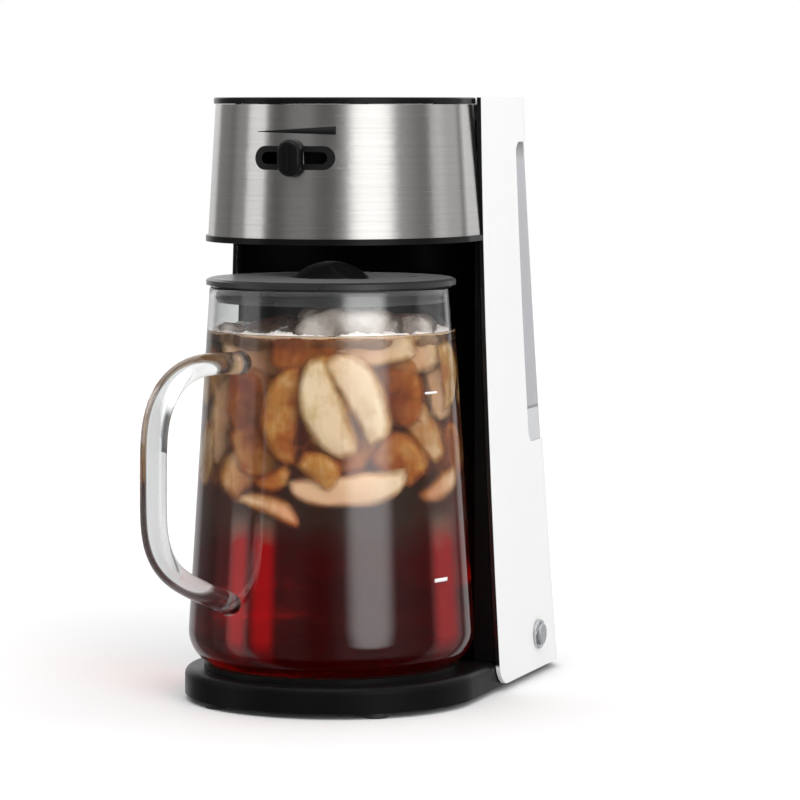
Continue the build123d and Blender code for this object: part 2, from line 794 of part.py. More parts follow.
with BuildPart() as spray_spout:
    with BuildSketch(level(spout_z)):
        with Locations((0, spout_tip)):
            Rectangle(2 * spout_half, riser_y - spout_tip, align=(Align.CENTER, Align.MIN))
    extrude(amount=spout_h)
    with BuildSketch(level(spout_socket_z)):
        with Locations((0, riser_y)):
            Circle(spout_half + 0.2)
    extrude(amount=spout_z + spout_h - spout_socket_z)
    with BuildSketch(level(deck_top + seat_gap)):
        with Locations((0, (basket_r + basket_rim_w + column_r) / 2)):
            Rectangle(2 * spout_half, 14)
    extrude(amount=spout_z - deck_top)
    with BuildSketch(level(spout_socket_z)):
        with Locations((0, riser_y)):
            Circle(riser_r + hinge_gap)
    extrude(amount=9.5, mode=Mode.SUBTRACT)
    with BuildSketch(level(spout_socket_z)):
        with Locations((0, riser_y)):
            Circle(riser_bore_r)
        with Locations((0, spout_tip + 4)):
            Circle(2.4)
    extrude(amount=spout_z + 2 - spout_socket_z, mode=Mode.SUBTRACT)
    with BuildSketch(level(spout_z + 1.5)):
        with Locations((0, spout_tip + 2)):
            Rectangle(2 * riser_bore_r, riser_y + riser_bore_r - spout_tip - 4,
                      align=(Align.CENTER, Align.MIN))
    extrude(amount=2.0, mode=Mode.SUBTRACT)
save(spray_spout.part, "spray_spout")

# ---- Top lid -------------------------------------------------------------------------
with BuildPart() as top_lid:
    extrude(head_plan(band_top, -top_lid_over, head_rear + 0.5).moved(Location((0, 0, 0.5))),
            amount=top_lid_t)
    fillet(top_lid.faces().sort_by(Axis.Z)[-1].edges(), 0.9)
    for side in (-1, 1):
        with BuildSketch(facing_right(side * knuckle_x - knuckle_w / 2)):
            with Locations((lid_pin_y, lid_pin_z)):
                Circle(knuckle_r)
            with Locations((head_rear, top_lid_z)):
                Rectangle(lid_pin_y - head_rear, top_lid_t - 0.9, align=(Align.MIN, Align.MIN))
            with Locations((lid_pin_y, lid_pin_z)):
                Circle(lid_pin_r + hinge_gap, mode=Mode.SUBTRACT)
        extrude(amount=knuckle_w)
save(top_lid.part, "top_lid")

bumper_angle = 57.0
bumper_inset = body_inset + head_wall / 2
bumper_x = (head_half_top - bumper_inset) * cos(radians(bumper_angle))
bumper_y = head_centre - (head_centre + head_front_top - bumper_inset) * sin(radians(bumper_angle))

with BuildPart() as lid_bumpers:
    with BuildSketch(level(band_top)):
        with Locations((-bumper_x, bumper_y), (bumper_x, bumper_y)):
            Circle(1.2)
    extrude(amount=top_lid_z - band_top)
save(lid_bumpers.part, "lid_bumpers")

with BuildPart() as lid_hinge_pins:
    for side in (-1, 1):
        with BuildSketch(facing_right(side * knuckle_x - ear_step - ear_t / 2, lid_pin_y)):
            with Locations((0, lid_pin_z)):
                Circle(lid_pin_r)
        extrude(amount=2 * ear_step + ear_t)
save(lid_hinge_pins.part, "lid_hinge_pins")

# ======================================================================================
# Water tank
# ======================================================================================
def tank_plan(z, inset):
    """The tank's plan: round at the back, hollow in front, with a channel for the riser."""
    with BuildSketch(level(z)) as plan:
        with BuildLine():
            Polyline(
                (inset - tank_half, tank_front + inset),
                (tank_half - inset, tank_front + inset),
                (tank_half - inset, tank_rear - inset),
                (inset - tank_half, tank_rear - inset),
                close=True,
            )
        make_face()
        fillet(plan.vertices().group_by(Axis.Y)[-1], tank_corner_r - inset)
        Circle(tank_front_r + inset, mode=Mode.SUBTRACT)
        Rectangle(
            2 * (riser_notch_half + inset),
            riser_notch_rear + inset,
            align=(Align.CENTER, Align.MIN),
            mode=Mode.SUBTRACT,
        )
    return plan.sketch


tank_step_z = tank_z + tank_step_h
tank_lid_z = top_z - 0.5 - tank_lid_t
tank_pin_y = tank_rear - tank_knuckle_r
tank_pin_z = top_z - tank_knuckle_r
tank_knuckle_w = 5.4
tank_lid_swing = 2.5   # the lid's rear corners stand this far forward, to clear the shell
lug_t = 2.6
lug_step = (tank_knuckle_w + lug_t) / 2 + 0.2
valve_r = 9.5
valve_floor_z = tank_z + tank_floor_t

with BuildPart() as tank:
    extrude(tank_plan(tank_z, tank_step), amount=tank_step_h)
    extrude(tank_plan(tank_step_z, 0), amount=tank_top - tank_step_z)
    extrude(
        tank_plan(valve_floor_z, tank_step + tank_wall),
        amount=tank_top - valve_floor_z,
        mode=Mode.SUBTRACT,
    )
    extrude(
        tank_plan(tank_step_z + tank_wall, tank_wall),
        amount=tank_top - tank_step_z,
        mode=Mode.SUBTRACT,
    )
    with BuildSketch(level(tank_z)):
        with Locations((valve_x, valve_y)):
            Circle(valve_r + hinge_gap)
    extrude(amount=tank_floor_t, mode=Mode.SUBTRACT)
    # rail under the lid's hinge, and the lugs that hold its pins
    with BuildSketch(level(tank_top - 6)):
        with Locations((0, tank_pin_y - tank_knuckle_r)):
            Rectangle(2 * (tank_half - tank_corner_r), 2 * tank_knuckle_r,
                      align=(Align.CENTER, Align.MIN))
    extrude(amount=5)
    with BuildSketch(level(tank_top - 1)):
        with Locations(*[(side * tank_knuckle_x, tank_rear) for side in (-1, 1)]):
            Rectangle(tank_knuckle_w + 0.4, 10)
    extrude(amount=2, mode=Mode.SUBTRACT)
    for side in (-1, 1):
        for step in (-lug_step, lug_step):
            with BuildSketch(facing_right(side * tank_knuckle_x + step - lug_t / 2, tank_pin_y)):
                with Locations((0, tank_top - 2)):
                    Rectangle(2 * tank_knuckle_r, tank_pin_z - tank_top + 2,
                              align=(Align.CENTER, Align.MIN))
                with Locations((0, tank_pin_z)):
                    Circle(tank_knuckle_r)
                    Circle(tank_pin_r, mode=Mode.SUBTRACT)
            extrude(amount=lug_t)
save(tank.part, "tank")

with BuildPart() as tank_lid:
    lid_plan = tower_plan(tank_lid_z, shell_t + 0.8, tank_lid_front + tank_lid_swing)
    extrude(lid_plan.moved(Location((0, -tank_lid_swing, 0))), amount=tank_lid_t)
    with BuildSketch(level(tank_lid_z)):
        with Locations((0, tank_pin_y - tank_knuckle_r - 0.3)):
            Rectangle(300, 100, align=(Align.CENTER, Align.MIN))
    extrude(amount=tank_lid_t, mode=Mode.SUBTRACT)
    fillet(tank_lid.faces().sort_by(Axis.Z)[-1].edges(), 0.8)
    for side in (-1, 1):
        with BuildSketch(facing_right(side * tank_knuckle_x - tank_knuckle_w / 2)):
            with Locations((tank_pin_y, tank_pin_z)):
                Circle(tank_knuckle_r)
            with Locations((tank_pin_y - 5, tank_lid_z)):
                Rectangle(5, tank_lid_t - 0.8, align=(Align.MIN, Align.MIN))
            with Locations((tank_pin_y, tank_pin_z)):
                Circle(tank_pin_r + hinge_gap, mode=Mode.SUBTRACT)
        extrude(amount=tank_knuckle_w)
save(tank_lid.part, "tank_lid")

with BuildPart() as tank_lid_pins:
    for side in (-1, 1):
        with BuildSketch(facing_right(side * tank_knuckle_x - lug_step - lug_t / 2, tank_pin_y)):
            with Locations((0, tank_pin_z)):
                Circle(tank_pin_r)
        extrude(amount=2 * lug_step + lug_t)
save(tank_lid_pins.part, "tank_lid_pins")

# ---- Valve in the tank's floor -------------------------------------------------------
stem_r = 1.5
seat_r = 5.0
socket_wall = 1.8
socket_r = valve_r + slip_gap
socket_floor_z = shelf_z - 7.0
valve_foot_z = socket_floor_z + 2.2
poppet_z = valve_floor_z + 1.8
cage_z = valve_floor_z + 1.6
cage_h = 15.0


def tube(plane, outside_r, bore_r, length):
    """A straight round tube that stands on a plane."""
    with BuildPart() as pipe:
        with BuildSketch(plane):
            Circle(outside_r)
            Circle(bore_r, mode=Mode.SUBTRACT)
        extrude(amount=length)
    return pipe.part


with BuildPart() as tank_valve_body:
    add(tube(level(valve_foot_z, valve_x, valve_y), valve_r, seat_r, cage_z - valve_foot_z))
    add(tube(level(valve_floor_z + 0.1, valve_x, valve_y), valve_r + 2.5, valve_r - 1, 1.5))
save(tank_valve_body.part, "tank_valve_body")

with BuildPart() as tank_valve_poppet:
    with BuildSketch(level(poppet_z, valve_x, valve_y)):
        Circle(seat_r + 1.6)
    extrude(amount=1.6)
    with BuildSketch(level(valve_foot_z + 1.0, valve_x, valve_y)):
        Circle(stem_r)
    extrude(amount=poppet_z - valve_foot_z + 6.0)
save(tank_valve_poppet.part, "tank_valve_poppet")

spring_wire_r = 0.4
save(
    spring_coil(
        level(poppet_z + 1.6 + spring_wire_r + 0.1, valve_x, valve_y),
        seat_r - 1.0,
        cage_z + cage_h - 1.0 - poppet_z - 1.6 - 2 * spring_wire_r - 0.2,
        5,
        spring_wire_r,
    ),
    "tank_valve_spring",
)

with BuildPart() as tank_strainer:
    with BuildSketch(level(cage_z + 0.1, valve_x, valve_y)):
        Circle(valve_r + 1.5)
    extrude(amount=cage_h)
    with BuildSketch(level(cage_z + 0.1, valve_x, valve_y)):
        Circle(valve_r + 0.5)
    extrude(amount=cage_h - 1.0, mode=Mode.SUBTRACT)
    with Locations(level(cage_z + 0.1 + cage_h / 2, valve_x, valve_y)):
        with PolarLocations(valve_r + 1, 10):
            Box(6, 3.2, cage_h - 5, mode=Mode.SUBTRACT)
save(tank_strainer.part, "tank_strainer")

with BuildPart() as tank_socket:
    with BuildSketch(level(socket_floor_z - 1.8, valve_x, valve_y)):
        Circle(socket_r + socket_wall)
    extrude(amount=shelf_z + shelf_t - socket_floor_z + 1.7)
    with BuildSketch(level(socket_floor_z, valve_x, valve_y)):
        Circle(socket_r)
    extrude(amount=40, mode=Mode.SUBTRACT)
    # nipple for the hose, and the pin that lifts the tank's valve
    with BuildSketch(level(socket_floor_z - 9.0, valve_x, valve_y)):
        Circle(tube_r)
    extrude(amount=8.0)
    with BuildSketch(level(socket_floor_z - 9.0, valve_x, valve_y)):
        Circle(tube_bore_r)
    extrude(amount=7.4, mode=Mode.SUBTRACT)
    with BuildSketch(level(socket_floor_z - 1.8, valve_x, valve_y)):
        with PolarLocations(tube_bore_r - 0.4, 3):
            Circle(1.0)
    extrude(amount=1.8, mode=Mode.SUBTRACT)
    with BuildSketch(level(socket_floor_z - 0.1, valve_x, valve_y)):
        Circle(stem_r)
    extrude(amount=valve_foot_z + 1.0 - seat_gap - socket_floor_z)
save(tank_socket.part, "tank_socket")

save(
    tube(level(socket_floor_z + 0.1, valve_x, valve_y), socket_r - 0.3, socket_r - 2.4, 1.8),
    "socket_seal",
)

# ======================================================================================
# Heater, hoses and riser
# ======================================================================================
leg_front_y = riser_y
leg_rear_y = riser_y + 2 * heater_bend_r
leg_end_x = heater_x + heater_leg
stub = 5.0
hose_r = tube_r + 2.0


def heater_path(extra):
    """Front leg, round bend and rear leg of the heater, with both ends lengthened."""
    with BuildLine(level(heater_z)) as line:
        Line((leg_end_x + extra, leg_front_y), (heater_x, leg_front_y))
        RadiusArc((heater_x, leg_front_y), (heater_x, leg_rear_y), heater_bend_r)
        Line((heater_x, leg_rear_y), (leg_end_x + extra, leg_rear_y))
    return line.line


def swept(path, section_r):
    """A round rod along a path."""
    with BuildPart() as rod:
        with BuildSketch(Plane(origin=path @ 0, z_dir=path % 0)):
            Circle(section_r)
        sweep(path=path)
    return rod.part


water_path = heater_path(stub)

with BuildPart() as heater_block:
    with BuildSketch(Plane(origin=heater_path(0) @ 0, z_dir=(-1, 0, 0), x_dir=(0, 1, 0))):
        RectangleRounded(heater_w, heater_h, 4.0)
    sweep(path=heater_path(0))
    add(swept(water_path, tube_r), mode=Mode.SUBTRACT)
save(heater_block.part, "heater_block")

with BuildPart() as heater_tube:
    add(swept(water_path, tube_r))
    add(swept(water_path, tube_bore_r), mode=Mode.SUBTRACT)
save(heater_tube.part, "heater_tube")

strap_half = 6.0
strap_z = heater_z + heater_h / 2 + 0.1
post_y = riser_y + heater_bend_r
with BuildPart() as heater_strap:
    with BuildSketch(level(strap_z, heater_x, post_y)):
        Rectangle(2 * strap_half, 2 * heater_bend_r + heater_w + 2)
        Circle(screw_shank_r + 0.2, mode=Mode.SUBTRACT)
    extrude(amount=1.5)
save(heater_strap.part, "heater_strap")

with BuildPart() as heater_screw:
    with BuildSketch(level(strap_z + 1.55, heater_x, post_y)):
        Circle(screw_head_r)
    extrude(amount=2.0)
    with BuildSketch(level(strap_z - 8.0, heater_x, post_y)):
        Circle(screw_shank_r - 0.05)
    extrude(amount=9.6)
save(heater_screw.part, "heater_screw")

with BuildPart() as thermostat:
    with BuildSketch(level(strap_z, heater_x - heater_bend_r, post_y)):
        Circle(8.0)
    extrude(amount=5.5)
    with BuildSketch(level(strap_z + 5.5, heater_x - heater_bend_r, post_y)):
        with Locations((0, -5), (0, 5)):
            Rectangle(6.0, 0.8)
    extrude(amount=5.0)
save(thermostat.part, "thermostat")

with BuildPart() as thermal_fuse:
    with BuildSketch(facing_right(leg_end_x - 17, leg_front_y, strap_z + 2.4)):
        Circle(2.2)
    extrude(amount=13)
    with BuildSketch(facing_right(leg_end_x - 17 + 13, leg_front_y, strap_z + 2.4)):
        Circle(0.6)
    extrude(amount=5)
save(thermal_fuse.part, "thermal_fuse")

with BuildPart() as check_valve:
    with BuildSketch(facing_right(leg_end_x + 3, leg_rear_y, heater_z)):
        Circle(hose_r + 1.5)
    extrude(amount=12)
    with BuildSketch(facing_right(leg_end_x + 15, leg_rear_y, heater_z)):
        Circle(tube_r)
    extrude(amount=8)
    with BuildSketch(facing_right(leg_end_x, leg_rear_y, heater_z)):
        Circle(tube_bore_r)
    extrude(amount=40, mode=Mode.SUBTRACT)
    with BuildSketch(facing_right(leg_end_x, leg_rear_y, heater_z)):
        Circle(tube_r + hinge_gap)
    extrude(amount=stub + 0.2, mode=Mode.SUBTRACT)
save(check_valve.part, "check_valve")

nipple_foot = socket_floor_z - 9.0
hose_start = leg_end_x + 16
with BuildLine() as inlet_line:
    FilletPolyline(
        (hose_start, pitcher_y + leg_rear_y, heater_z),
        (valve_x - 12, pitcher_y + leg_rear_y, heater_z),
        (valve_x, pitcher_y + valve_y, heater_z - 8),
        (valve_x, pitcher_y + valve_y, nipple_foot + 6),
        radius=8,
    )
with BuildPart() as inlet_hose:
    add(swept(inlet_line.line, hose_r))
    add(swept(inlet_line.line, tube_r + hinge_gap), mode=Mode.SUBTRACT)
save(inlet_hose.part, "inlet_hose")

with BuildLine() as outlet_line:
    FilletPolyline(
        (leg_end_x + 1, pitcher_y + riser_y, heater_z),
        (0, pitcher_y + riser_y, heater_z),
        (0, pitcher_y + riser_y, shelf_z - 2),
        radius=10,
    )
with BuildPart() as outlet_hose:
    add(swept(outlet_line.line, riser_r + 1.8))
    add(swept(outlet_line.line, tube_r + hinge_gap), mode=Mode.SUBTRACT)
    with BuildSketch(level(shelf_z - 9, 0, riser_y)):
        Circle(riser_r + hinge_gap)
    extrude(amount=20, mode=Mode.SUBTRACT)
save(outlet_hose.part, "outlet_hose")

riser_foot = shelf_z - 9
save(
    tube(level(riser_foot, 0, riser_y), riser_r, riser_bore_r, spout_socket_z + 9.4 - riser_foot),
    "riser_tube",
)

clamp_w = 4.0
clamp_t = 0.8
with BuildPart() as hose_clamps:
    with BuildSketch(facing_right(hose_start + 2, leg_rear_y, heater_z)):
        Circle(hose_r + hinge_gap + clamp_t)
        Circle(hose_r + hinge_gap, mode=Mode.SUBTRACT)
    extrude(amount=clamp_w)
    with BuildSketch(facing_right(leg_end_x + 2.5, riser_y, heater_z)):
        Circle(riser_r + 1.85 + clamp_t)
        Circle(riser_r + 1.85, mode=Mode.SUBTRACT)
    extrude(amount=clamp_w)
save(hose_clamps.part, "hose_clamps")

# ======================================================================================
# Switch, cord inlet and terminals
# ======================================================================================
bezel_x = tower_half(switch_z - bezel_r) + 0.1
sleeve_end = bezel_x - 15.5
button_face = bezel_x + bezel_t + button_out
button_back = sleeve_end + button_travel + 2.0
button_cup = 8.0

with BuildPart() as button_bezel:
    with BuildSketch(facing_right(bezel_x, switch_y, switch_z)):
        Circle(bezel_r)
        Circle(button_r + 0.2, mode=Mode.SUBTRACT)
    extrude(amount=bezel_t)
    chamfer(button_bezel.faces().sort_by(Axis.X)[-1].edges(), 0.4)
    with BuildSketch(facing_right(sleeve_end, switch_y, switch_z)):
        Circle(bezel_r - 1.25)
        Circle(button_r + 0.2, mode=Mode.SUBTRACT)
    extrude(amount=bezel_x - sleeve_end)
save(button_bezel.part, "button_bezel")

with BuildPart() as power_button:
    with BuildSketch(facing_right(button_back, switch_y, switch_z)):
        Circle(button_r)
    extrude(amount=button_face - button_back)
    fillet(power_button.faces().sort_by(Axis.X)[-1].edges(), 0.8)
    with BuildSketch(facing_right(button_back, switch_y, switch_z)):
        Circle(button_r - 1.2)
    extrude(amount=button_cup, mode=Mode.SUBTRACT)
save(power_button.part, "power_button")

save(
    spring_coil(
        facing_right(sleeve_end + spring_wire_r + 0.2, switch_y, switch_z),
        button_r - 2.2,
        button_back + button_cup - sleeve_end - 2 * spring_wire_r - 0.4,
        5,
        spring_wire_r,
    ),
    "button_spring",
)

switch_len = 14.0
with BuildPart() as power_switch:
    with BuildSketch(facing_right(sleeve_end - 0.1 - switch_len, switch_y, switch_z)):
        Rectangle(18, 15)
    extrude(amount=switch_len)
    with BuildSketch(facing_right(sleeve_end - 0.1 - switch_len - 6, switch_y, switch_z)):
        with Locations((-5, 0), (5, 0)):
            Rectangle(0.8, 4.8)
    extrude(amount=6)
save(power_switch.part, "power_switch")

gland_face = tower_rear(gland_z - gland_flange_r) + 0.1
with BuildPart() as cord_gland:
    with BuildSketch(facing_front(gland_face + 2.5, gland_x, gland_z)):
        Circle(gland_flange_r)
    extrude(amount=2.5)
    fillet(cord_gland.faces().sort_by(Axis.Y)[-1].edges(), 0.8)
    with BuildSketch(facing_front(gland_face, gland_x, gland_z)):
        Circle(gland_r)
    extrude(amount=gland_len - 2.5)
    with BuildSketch(facing_front(gland_face + 5, gland_x, gland_z)):
        Circle(gland_bore_r)
    extrude(amount=30, mode=Mode.SUBTRACT)
save(cord_gland.part, "cord_gland")

terminal_x = 36.0
terminal_y = riser_y - 9.5
with BuildPart() as terminal_block:
    with BuildSketch(level(ledge_z + seat_gap, terminal_x, terminal_y + 12)):
        Rectangle(26, 14)
    extrude(amount=9)
    with BuildSketch(level(ledge_z + seat_gap + 9, terminal_x, terminal_y + 12)):
        with Locations((-8.5, 0), (0, 0), (8.5, 0)):
            Rectangle(7, 12)
    extrude(amount=3)
    with BuildSketch(level(ledge_z + seat_gap + 12, terminal_x, terminal_y + 12)):
        with Locations((-8.5, 0), (0, 0), (8.5, 0)):
            Circle(2.2)
    extrude(amount=-8, mode=Mode.SUBTRACT)
save(terminal_block.part, "terminal_block")

# ======================================================================================
# Pitcher and its lid
# ======================================================================================
with BuildPart() as glass_outside:
    with BuildSketch(facing_front()):
        with BuildLine():
            Line((0, pitcher_z), (pitcher_foot_r, pitcher_z))
            Spline(
                (pitcher_foot_r, pitcher_z),
                (pitcher_r, pitcher_z + pitcher_belly_h),
                tangents=[(1, 0), (pitcher_rim_r - pitcher_r, pitcher_h - pitcher_belly_h)],
            )
            Polyline((pitcher_r, pitcher_z + pitcher_belly_h), (pitcher_rim_r, rim_z), (0, rim_z),
                     (0, pitcher_z))
        make_face()
    revolve(axis=upright())

with BuildPart() as glass_inside:
    with BuildSketch(facing_front()):
        with BuildLine():
            Line((0, pitcher_z + glass_floor_t), (pitcher_foot_r - 2, pitcher_z + glass_floor_t))
            Spline(
                (pitcher_foot_r - 2, pitcher_z + glass_floor_t),
                (pitcher_r - glass_t, pitcher_z + pitcher_belly_h + 2),
                tangents=[(1, 0), (pitcher_rim_r - pitcher_r, pitcher_h - pitcher_belly_h)],
            )
            Polyline(
                (pitcher_r - glass_t, pitcher_z + pitcher_belly_h + 2),
                (pitcher_rim_r - glass_t, rim_z),
                (pitcher_rim_r - glass_t, rim_z + 5),
                (0, rim_z + 5),
                (0, pitcher_z + glass_floor_t),
            )
        make_face()
    revolve(axis=upright())

with BuildPart() as pitcher_glass:
    add(glass_outside.part)
    add(glass_inside.part, mode=Mode.SUBTRACT)
    fillet(pitcher_glass.edges().group_by(Axis.Z)[-1], 1.2)
save(pitcher_glass.part, "pitcher_glass")

handle_plane = Plane(
    origin=(0, pitcher_y, pitcher_z),
    x_dir=(-sin(radians(handle_turn)), -cos(radians(handle_turn)), 0),
    z_dir=(-cos(radians(handle_turn)), sin(radians(handle_turn)), 0),
)
handle_mid = handle_reach - handle_t / 2
handle_low = handle_bottom_h + (handle_mid - pitcher_r) * handle_slope

with BuildLine(handle_plane) as handle_line:
    FilletPolyline(
        (pitcher_rim_r - 6, handle_top_h),
        (handle_mid, handle_top_h),
        (handle_mid, handle_low),
        (pitcher_rim_r - 4, handle_low - (handle_mid - pitcher_rim_r + 4) * handle_slope),
        radius=handle_bend_r,
    )
with BuildPart() as pitcher_handle:
    path = handle_line.line
    with BuildSketch(Plane(origin=path @ 0, x_dir=(0, 0, 1), z_dir=path % 0)):
        Ellipse(handle_t / 2, handle_w / 2)
    sweep(path=path)
    add(glass_outside.part, mode=Mode.SUBTRACT)
save(pitcher_handle.part, "pitcher_handle")

skirt_r = pitcher_wall_r(rim_z - 9) - glass_t - 1.6
across = Plane(
    origin=(0, pitcher_y, grip_z),
    x_dir=(cos(radians(handle_turn)), -sin(radians(handle_turn)), 0),
    z_dir=(0, 0, 1),
)
dome_r = (grip_r**2 + grip_h**2) / (2 * grip_h)
scoop_r = 16.0
scoop_x = grip_fin_t / 2 + scoop_r

with BuildPart() as pitcher_lid:
    with BuildSketch(facing_front()):
        with BuildLine():
            Polyline((0, grip_z), (0, pitcher_lid_z), (skirt_r - 1.6, pitcher_lid_z),
                     (skirt_r - 1.6, rim_z - 8), (skirt_r, rim_z - 8), (skirt_r, pitcher_lid_z),
                     (pitcher_rim_r + pitcher_lid_over, pitcher_lid_z),
                     (pitcher_rim_r + pitcher_lid_over, grip_z - 1.0),
                     (pitcher_rim_r + pitcher_lid_over - 2.0, grip_z), (grip_r, grip_z))
            ThreePointArc(
                (grip_r, grip_z),
                (dome_r * sin(0.4), grip_z + grip_h - dome_r + dome_r * cos(0.4)),
                (0, grip_z + grip_h),
            )
            Line((0, grip_z + grip_h), (0, grip_z))
        make_face()
    revolve(axis=upright())
    with Locations(across):
        with Locations((-scoop_x, 0, scoop_r - 1.8), (scoop_x, 0, scoop_r - 1.8)):
            Sphere(scoop_r, mode=Mode.SUBTRACT)
    with BuildSketch(across.offset(-10)):
        with Locations((-scoop_x, 0), (scoop_x, 0)):
            SlotOverall(12, 3.4, rotation=90)
    extrude(amount=20, mode=Mode.SUBTRACT)
save(pitcher_lid.part, "pitcher_lid")

with BuildPart() as pitcher_lid_seal:
    with BuildSketch(level(rim_z - 6)):
        Circle(skirt_r + 0.9)
        Circle(skirt_r + 0.05, mode=Mode.SUBTRACT)
    extrude(amount=2.5)
save(pitcher_lid_seal.part, "pitcher_lid_seal")
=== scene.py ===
"""Looks of the iced tea maker: glass pitcher of iced tea, steel-banded head and white tower.

Lengths and heights are in millimetres unless a comment says metres, in the model's own frame:
+Z up, the front faces -Y, the table is at z = 0. MM turns them into Blender's metres.
"""

import json
import math

import bmesh
import bpy
import numpy as np
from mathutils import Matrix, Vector


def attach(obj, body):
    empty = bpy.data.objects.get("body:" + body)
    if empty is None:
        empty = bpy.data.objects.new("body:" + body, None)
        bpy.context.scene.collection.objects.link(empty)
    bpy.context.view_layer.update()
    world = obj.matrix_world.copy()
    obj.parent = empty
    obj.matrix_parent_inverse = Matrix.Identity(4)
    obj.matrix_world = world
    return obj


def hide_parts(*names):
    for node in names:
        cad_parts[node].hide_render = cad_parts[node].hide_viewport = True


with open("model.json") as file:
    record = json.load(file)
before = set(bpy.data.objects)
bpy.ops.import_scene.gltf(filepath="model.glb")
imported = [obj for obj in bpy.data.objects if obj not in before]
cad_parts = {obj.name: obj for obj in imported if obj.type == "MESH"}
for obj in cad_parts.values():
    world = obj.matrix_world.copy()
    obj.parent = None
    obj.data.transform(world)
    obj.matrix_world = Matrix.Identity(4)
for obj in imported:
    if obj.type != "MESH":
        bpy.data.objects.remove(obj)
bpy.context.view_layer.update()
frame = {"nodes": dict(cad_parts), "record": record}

MM = 0.001
TAU = 2 * math.pi
AXIS_Y = -19.4          # the pitcher's upright axis stands at x = 0 and this y
TEA_INDEX = 1.33        # how strongly tea bends light


# ---- Camera ----------------------------------------------
CAMERA_TURN = math.radians(20.75)   # round the pitcher's axis, from straight in front to +X
CAMERA_FAR = 1911.05                # level distance from the axis
CAMERA_HIGH = 315.58
CAMERA_YAW = 0.019                  # radians that it looks to the right of the axis
CAMERA_DIP = 0.082                  # radians that it looks below the level
CAMERA_LENS, CAMERA_SENSOR = 163.2, 36
CAMERA_CLIP = (0.05, 30)            # metres

# level directions: from the camera to the axis, and to the right in its picture
towards = Vector((-math.sin(CAMERA_TURN), math.cos(CAMERA_TURN), 0))
across = Vector((math.cos(CAMERA_TURN), math.sin(CAMERA_TURN), 0))
aim = towards * math.cos(CAMERA_YAW) + across * math.sin(CAMERA_YAW)
aim = aim * math.cos(CAMERA_DIP) + Vector((0, 0, -math.sin(CAMERA_DIP)))
camera = bpy.data.objects.new("camera", bpy.data.cameras.new("camera"))
bpy.context.scene.collection.objects.link(camera)
camera.location = (Vector((0, AXIS_Y, CAMERA_HIGH)) - towards * CAMERA_FAR) * MM
camera.rotation_mode = "QUATERNION"
camera.rotation_quaternion = aim.to_track_quat("-Z", "Y")
camera.data.lens = CAMERA_LENS
camera.data.sensor_width = CAMERA_SENSOR
camera.data.clip_start, camera.data.clip_end = CAMERA_CLIP
bpy.context.scene.camera = camera
bpy.context.scene.view_settings.view_transform = "Standard"


# ---- Node helpers ----------------------------------------
def grey(level):
    return (level, level, level)


class Nodes:
    """A node tree, with short ways to add to it. A value is a number or another node's
    socket, and a colour is its red, green and blue or a socket."""

    def __init__(self, tree):
        self.tree = tree

    def add(self, kind, **settings):
        node = self.tree.nodes.new(kind)
        for key, value in settings.items():
            setattr(node, key, value)
        return node

    def feed(self, socket, value):
        """Joins another node's socket to this one, or sets this one's own value."""
        if hasattr(value, "node"):
            self.tree.links.new(value, socket)
        elif socket.type == "RGBA":
            socket.default_value = (*value, 1)
        else:
            socket.default_value = value

    def maths(self, operation, *values):
        node = self.add("ShaderNodeMath", operation=operation)
        for socket, value in zip(node.inputs, values):
            self.feed(socket, value)
        return node.outputs["Value"]

    def scaled(self, value, by, plus=0.0):
        """The value times a number, plus another value."""
        return self.maths("MULTIPLY_ADD", value, by, plus)

    def spread(self, value, low, high, start=0.3, end=0.7, curve="LINEAR"):
        """From low to high as the value goes from start to end, and level beyond them."""
        node = self.add("ShaderNodeMapRange", interpolation_type=curve)
        self.feed(node.inputs["Value"], value)
        for key, number in (("From Min", start), ("From Max", end), ("To Min", low),
                            ("To Max", high)):
            node.inputs[key].default_value = number
        return node.outputs["Result"]

    def split(self, vector):
        """The x, y and z of a vector."""
        node = self.add("ShaderNodeSeparateXYZ")
        self.feed(node.inputs["Vector"], vector)
        return [node.outputs[axis] for axis in "XYZ"]

    def colour_steps(self, share, steps):
        """A colour that runs through the steps, each a place from 0 to 1 and its colour."""
        node = self.add("ShaderNodeValToRGB")
        elements = node.color_ramp.elements
        while len(elements) < len(steps):
            elements.new(0.5)
        for element, (place, colour) in zip(elements, steps):
            element.position, element.color = place, (*colour, 1)
        self.feed(node.inputs["Fac"], share)
        return node.outputs["Color"]

    def mixed_shaders(self, share, first, second):
        node = self.add("ShaderNodeMixShader")
        for socket, value in zip(node.inputs, (share, first, second)):
            self.feed(socket, value)
        return node.outputs["Shader"]


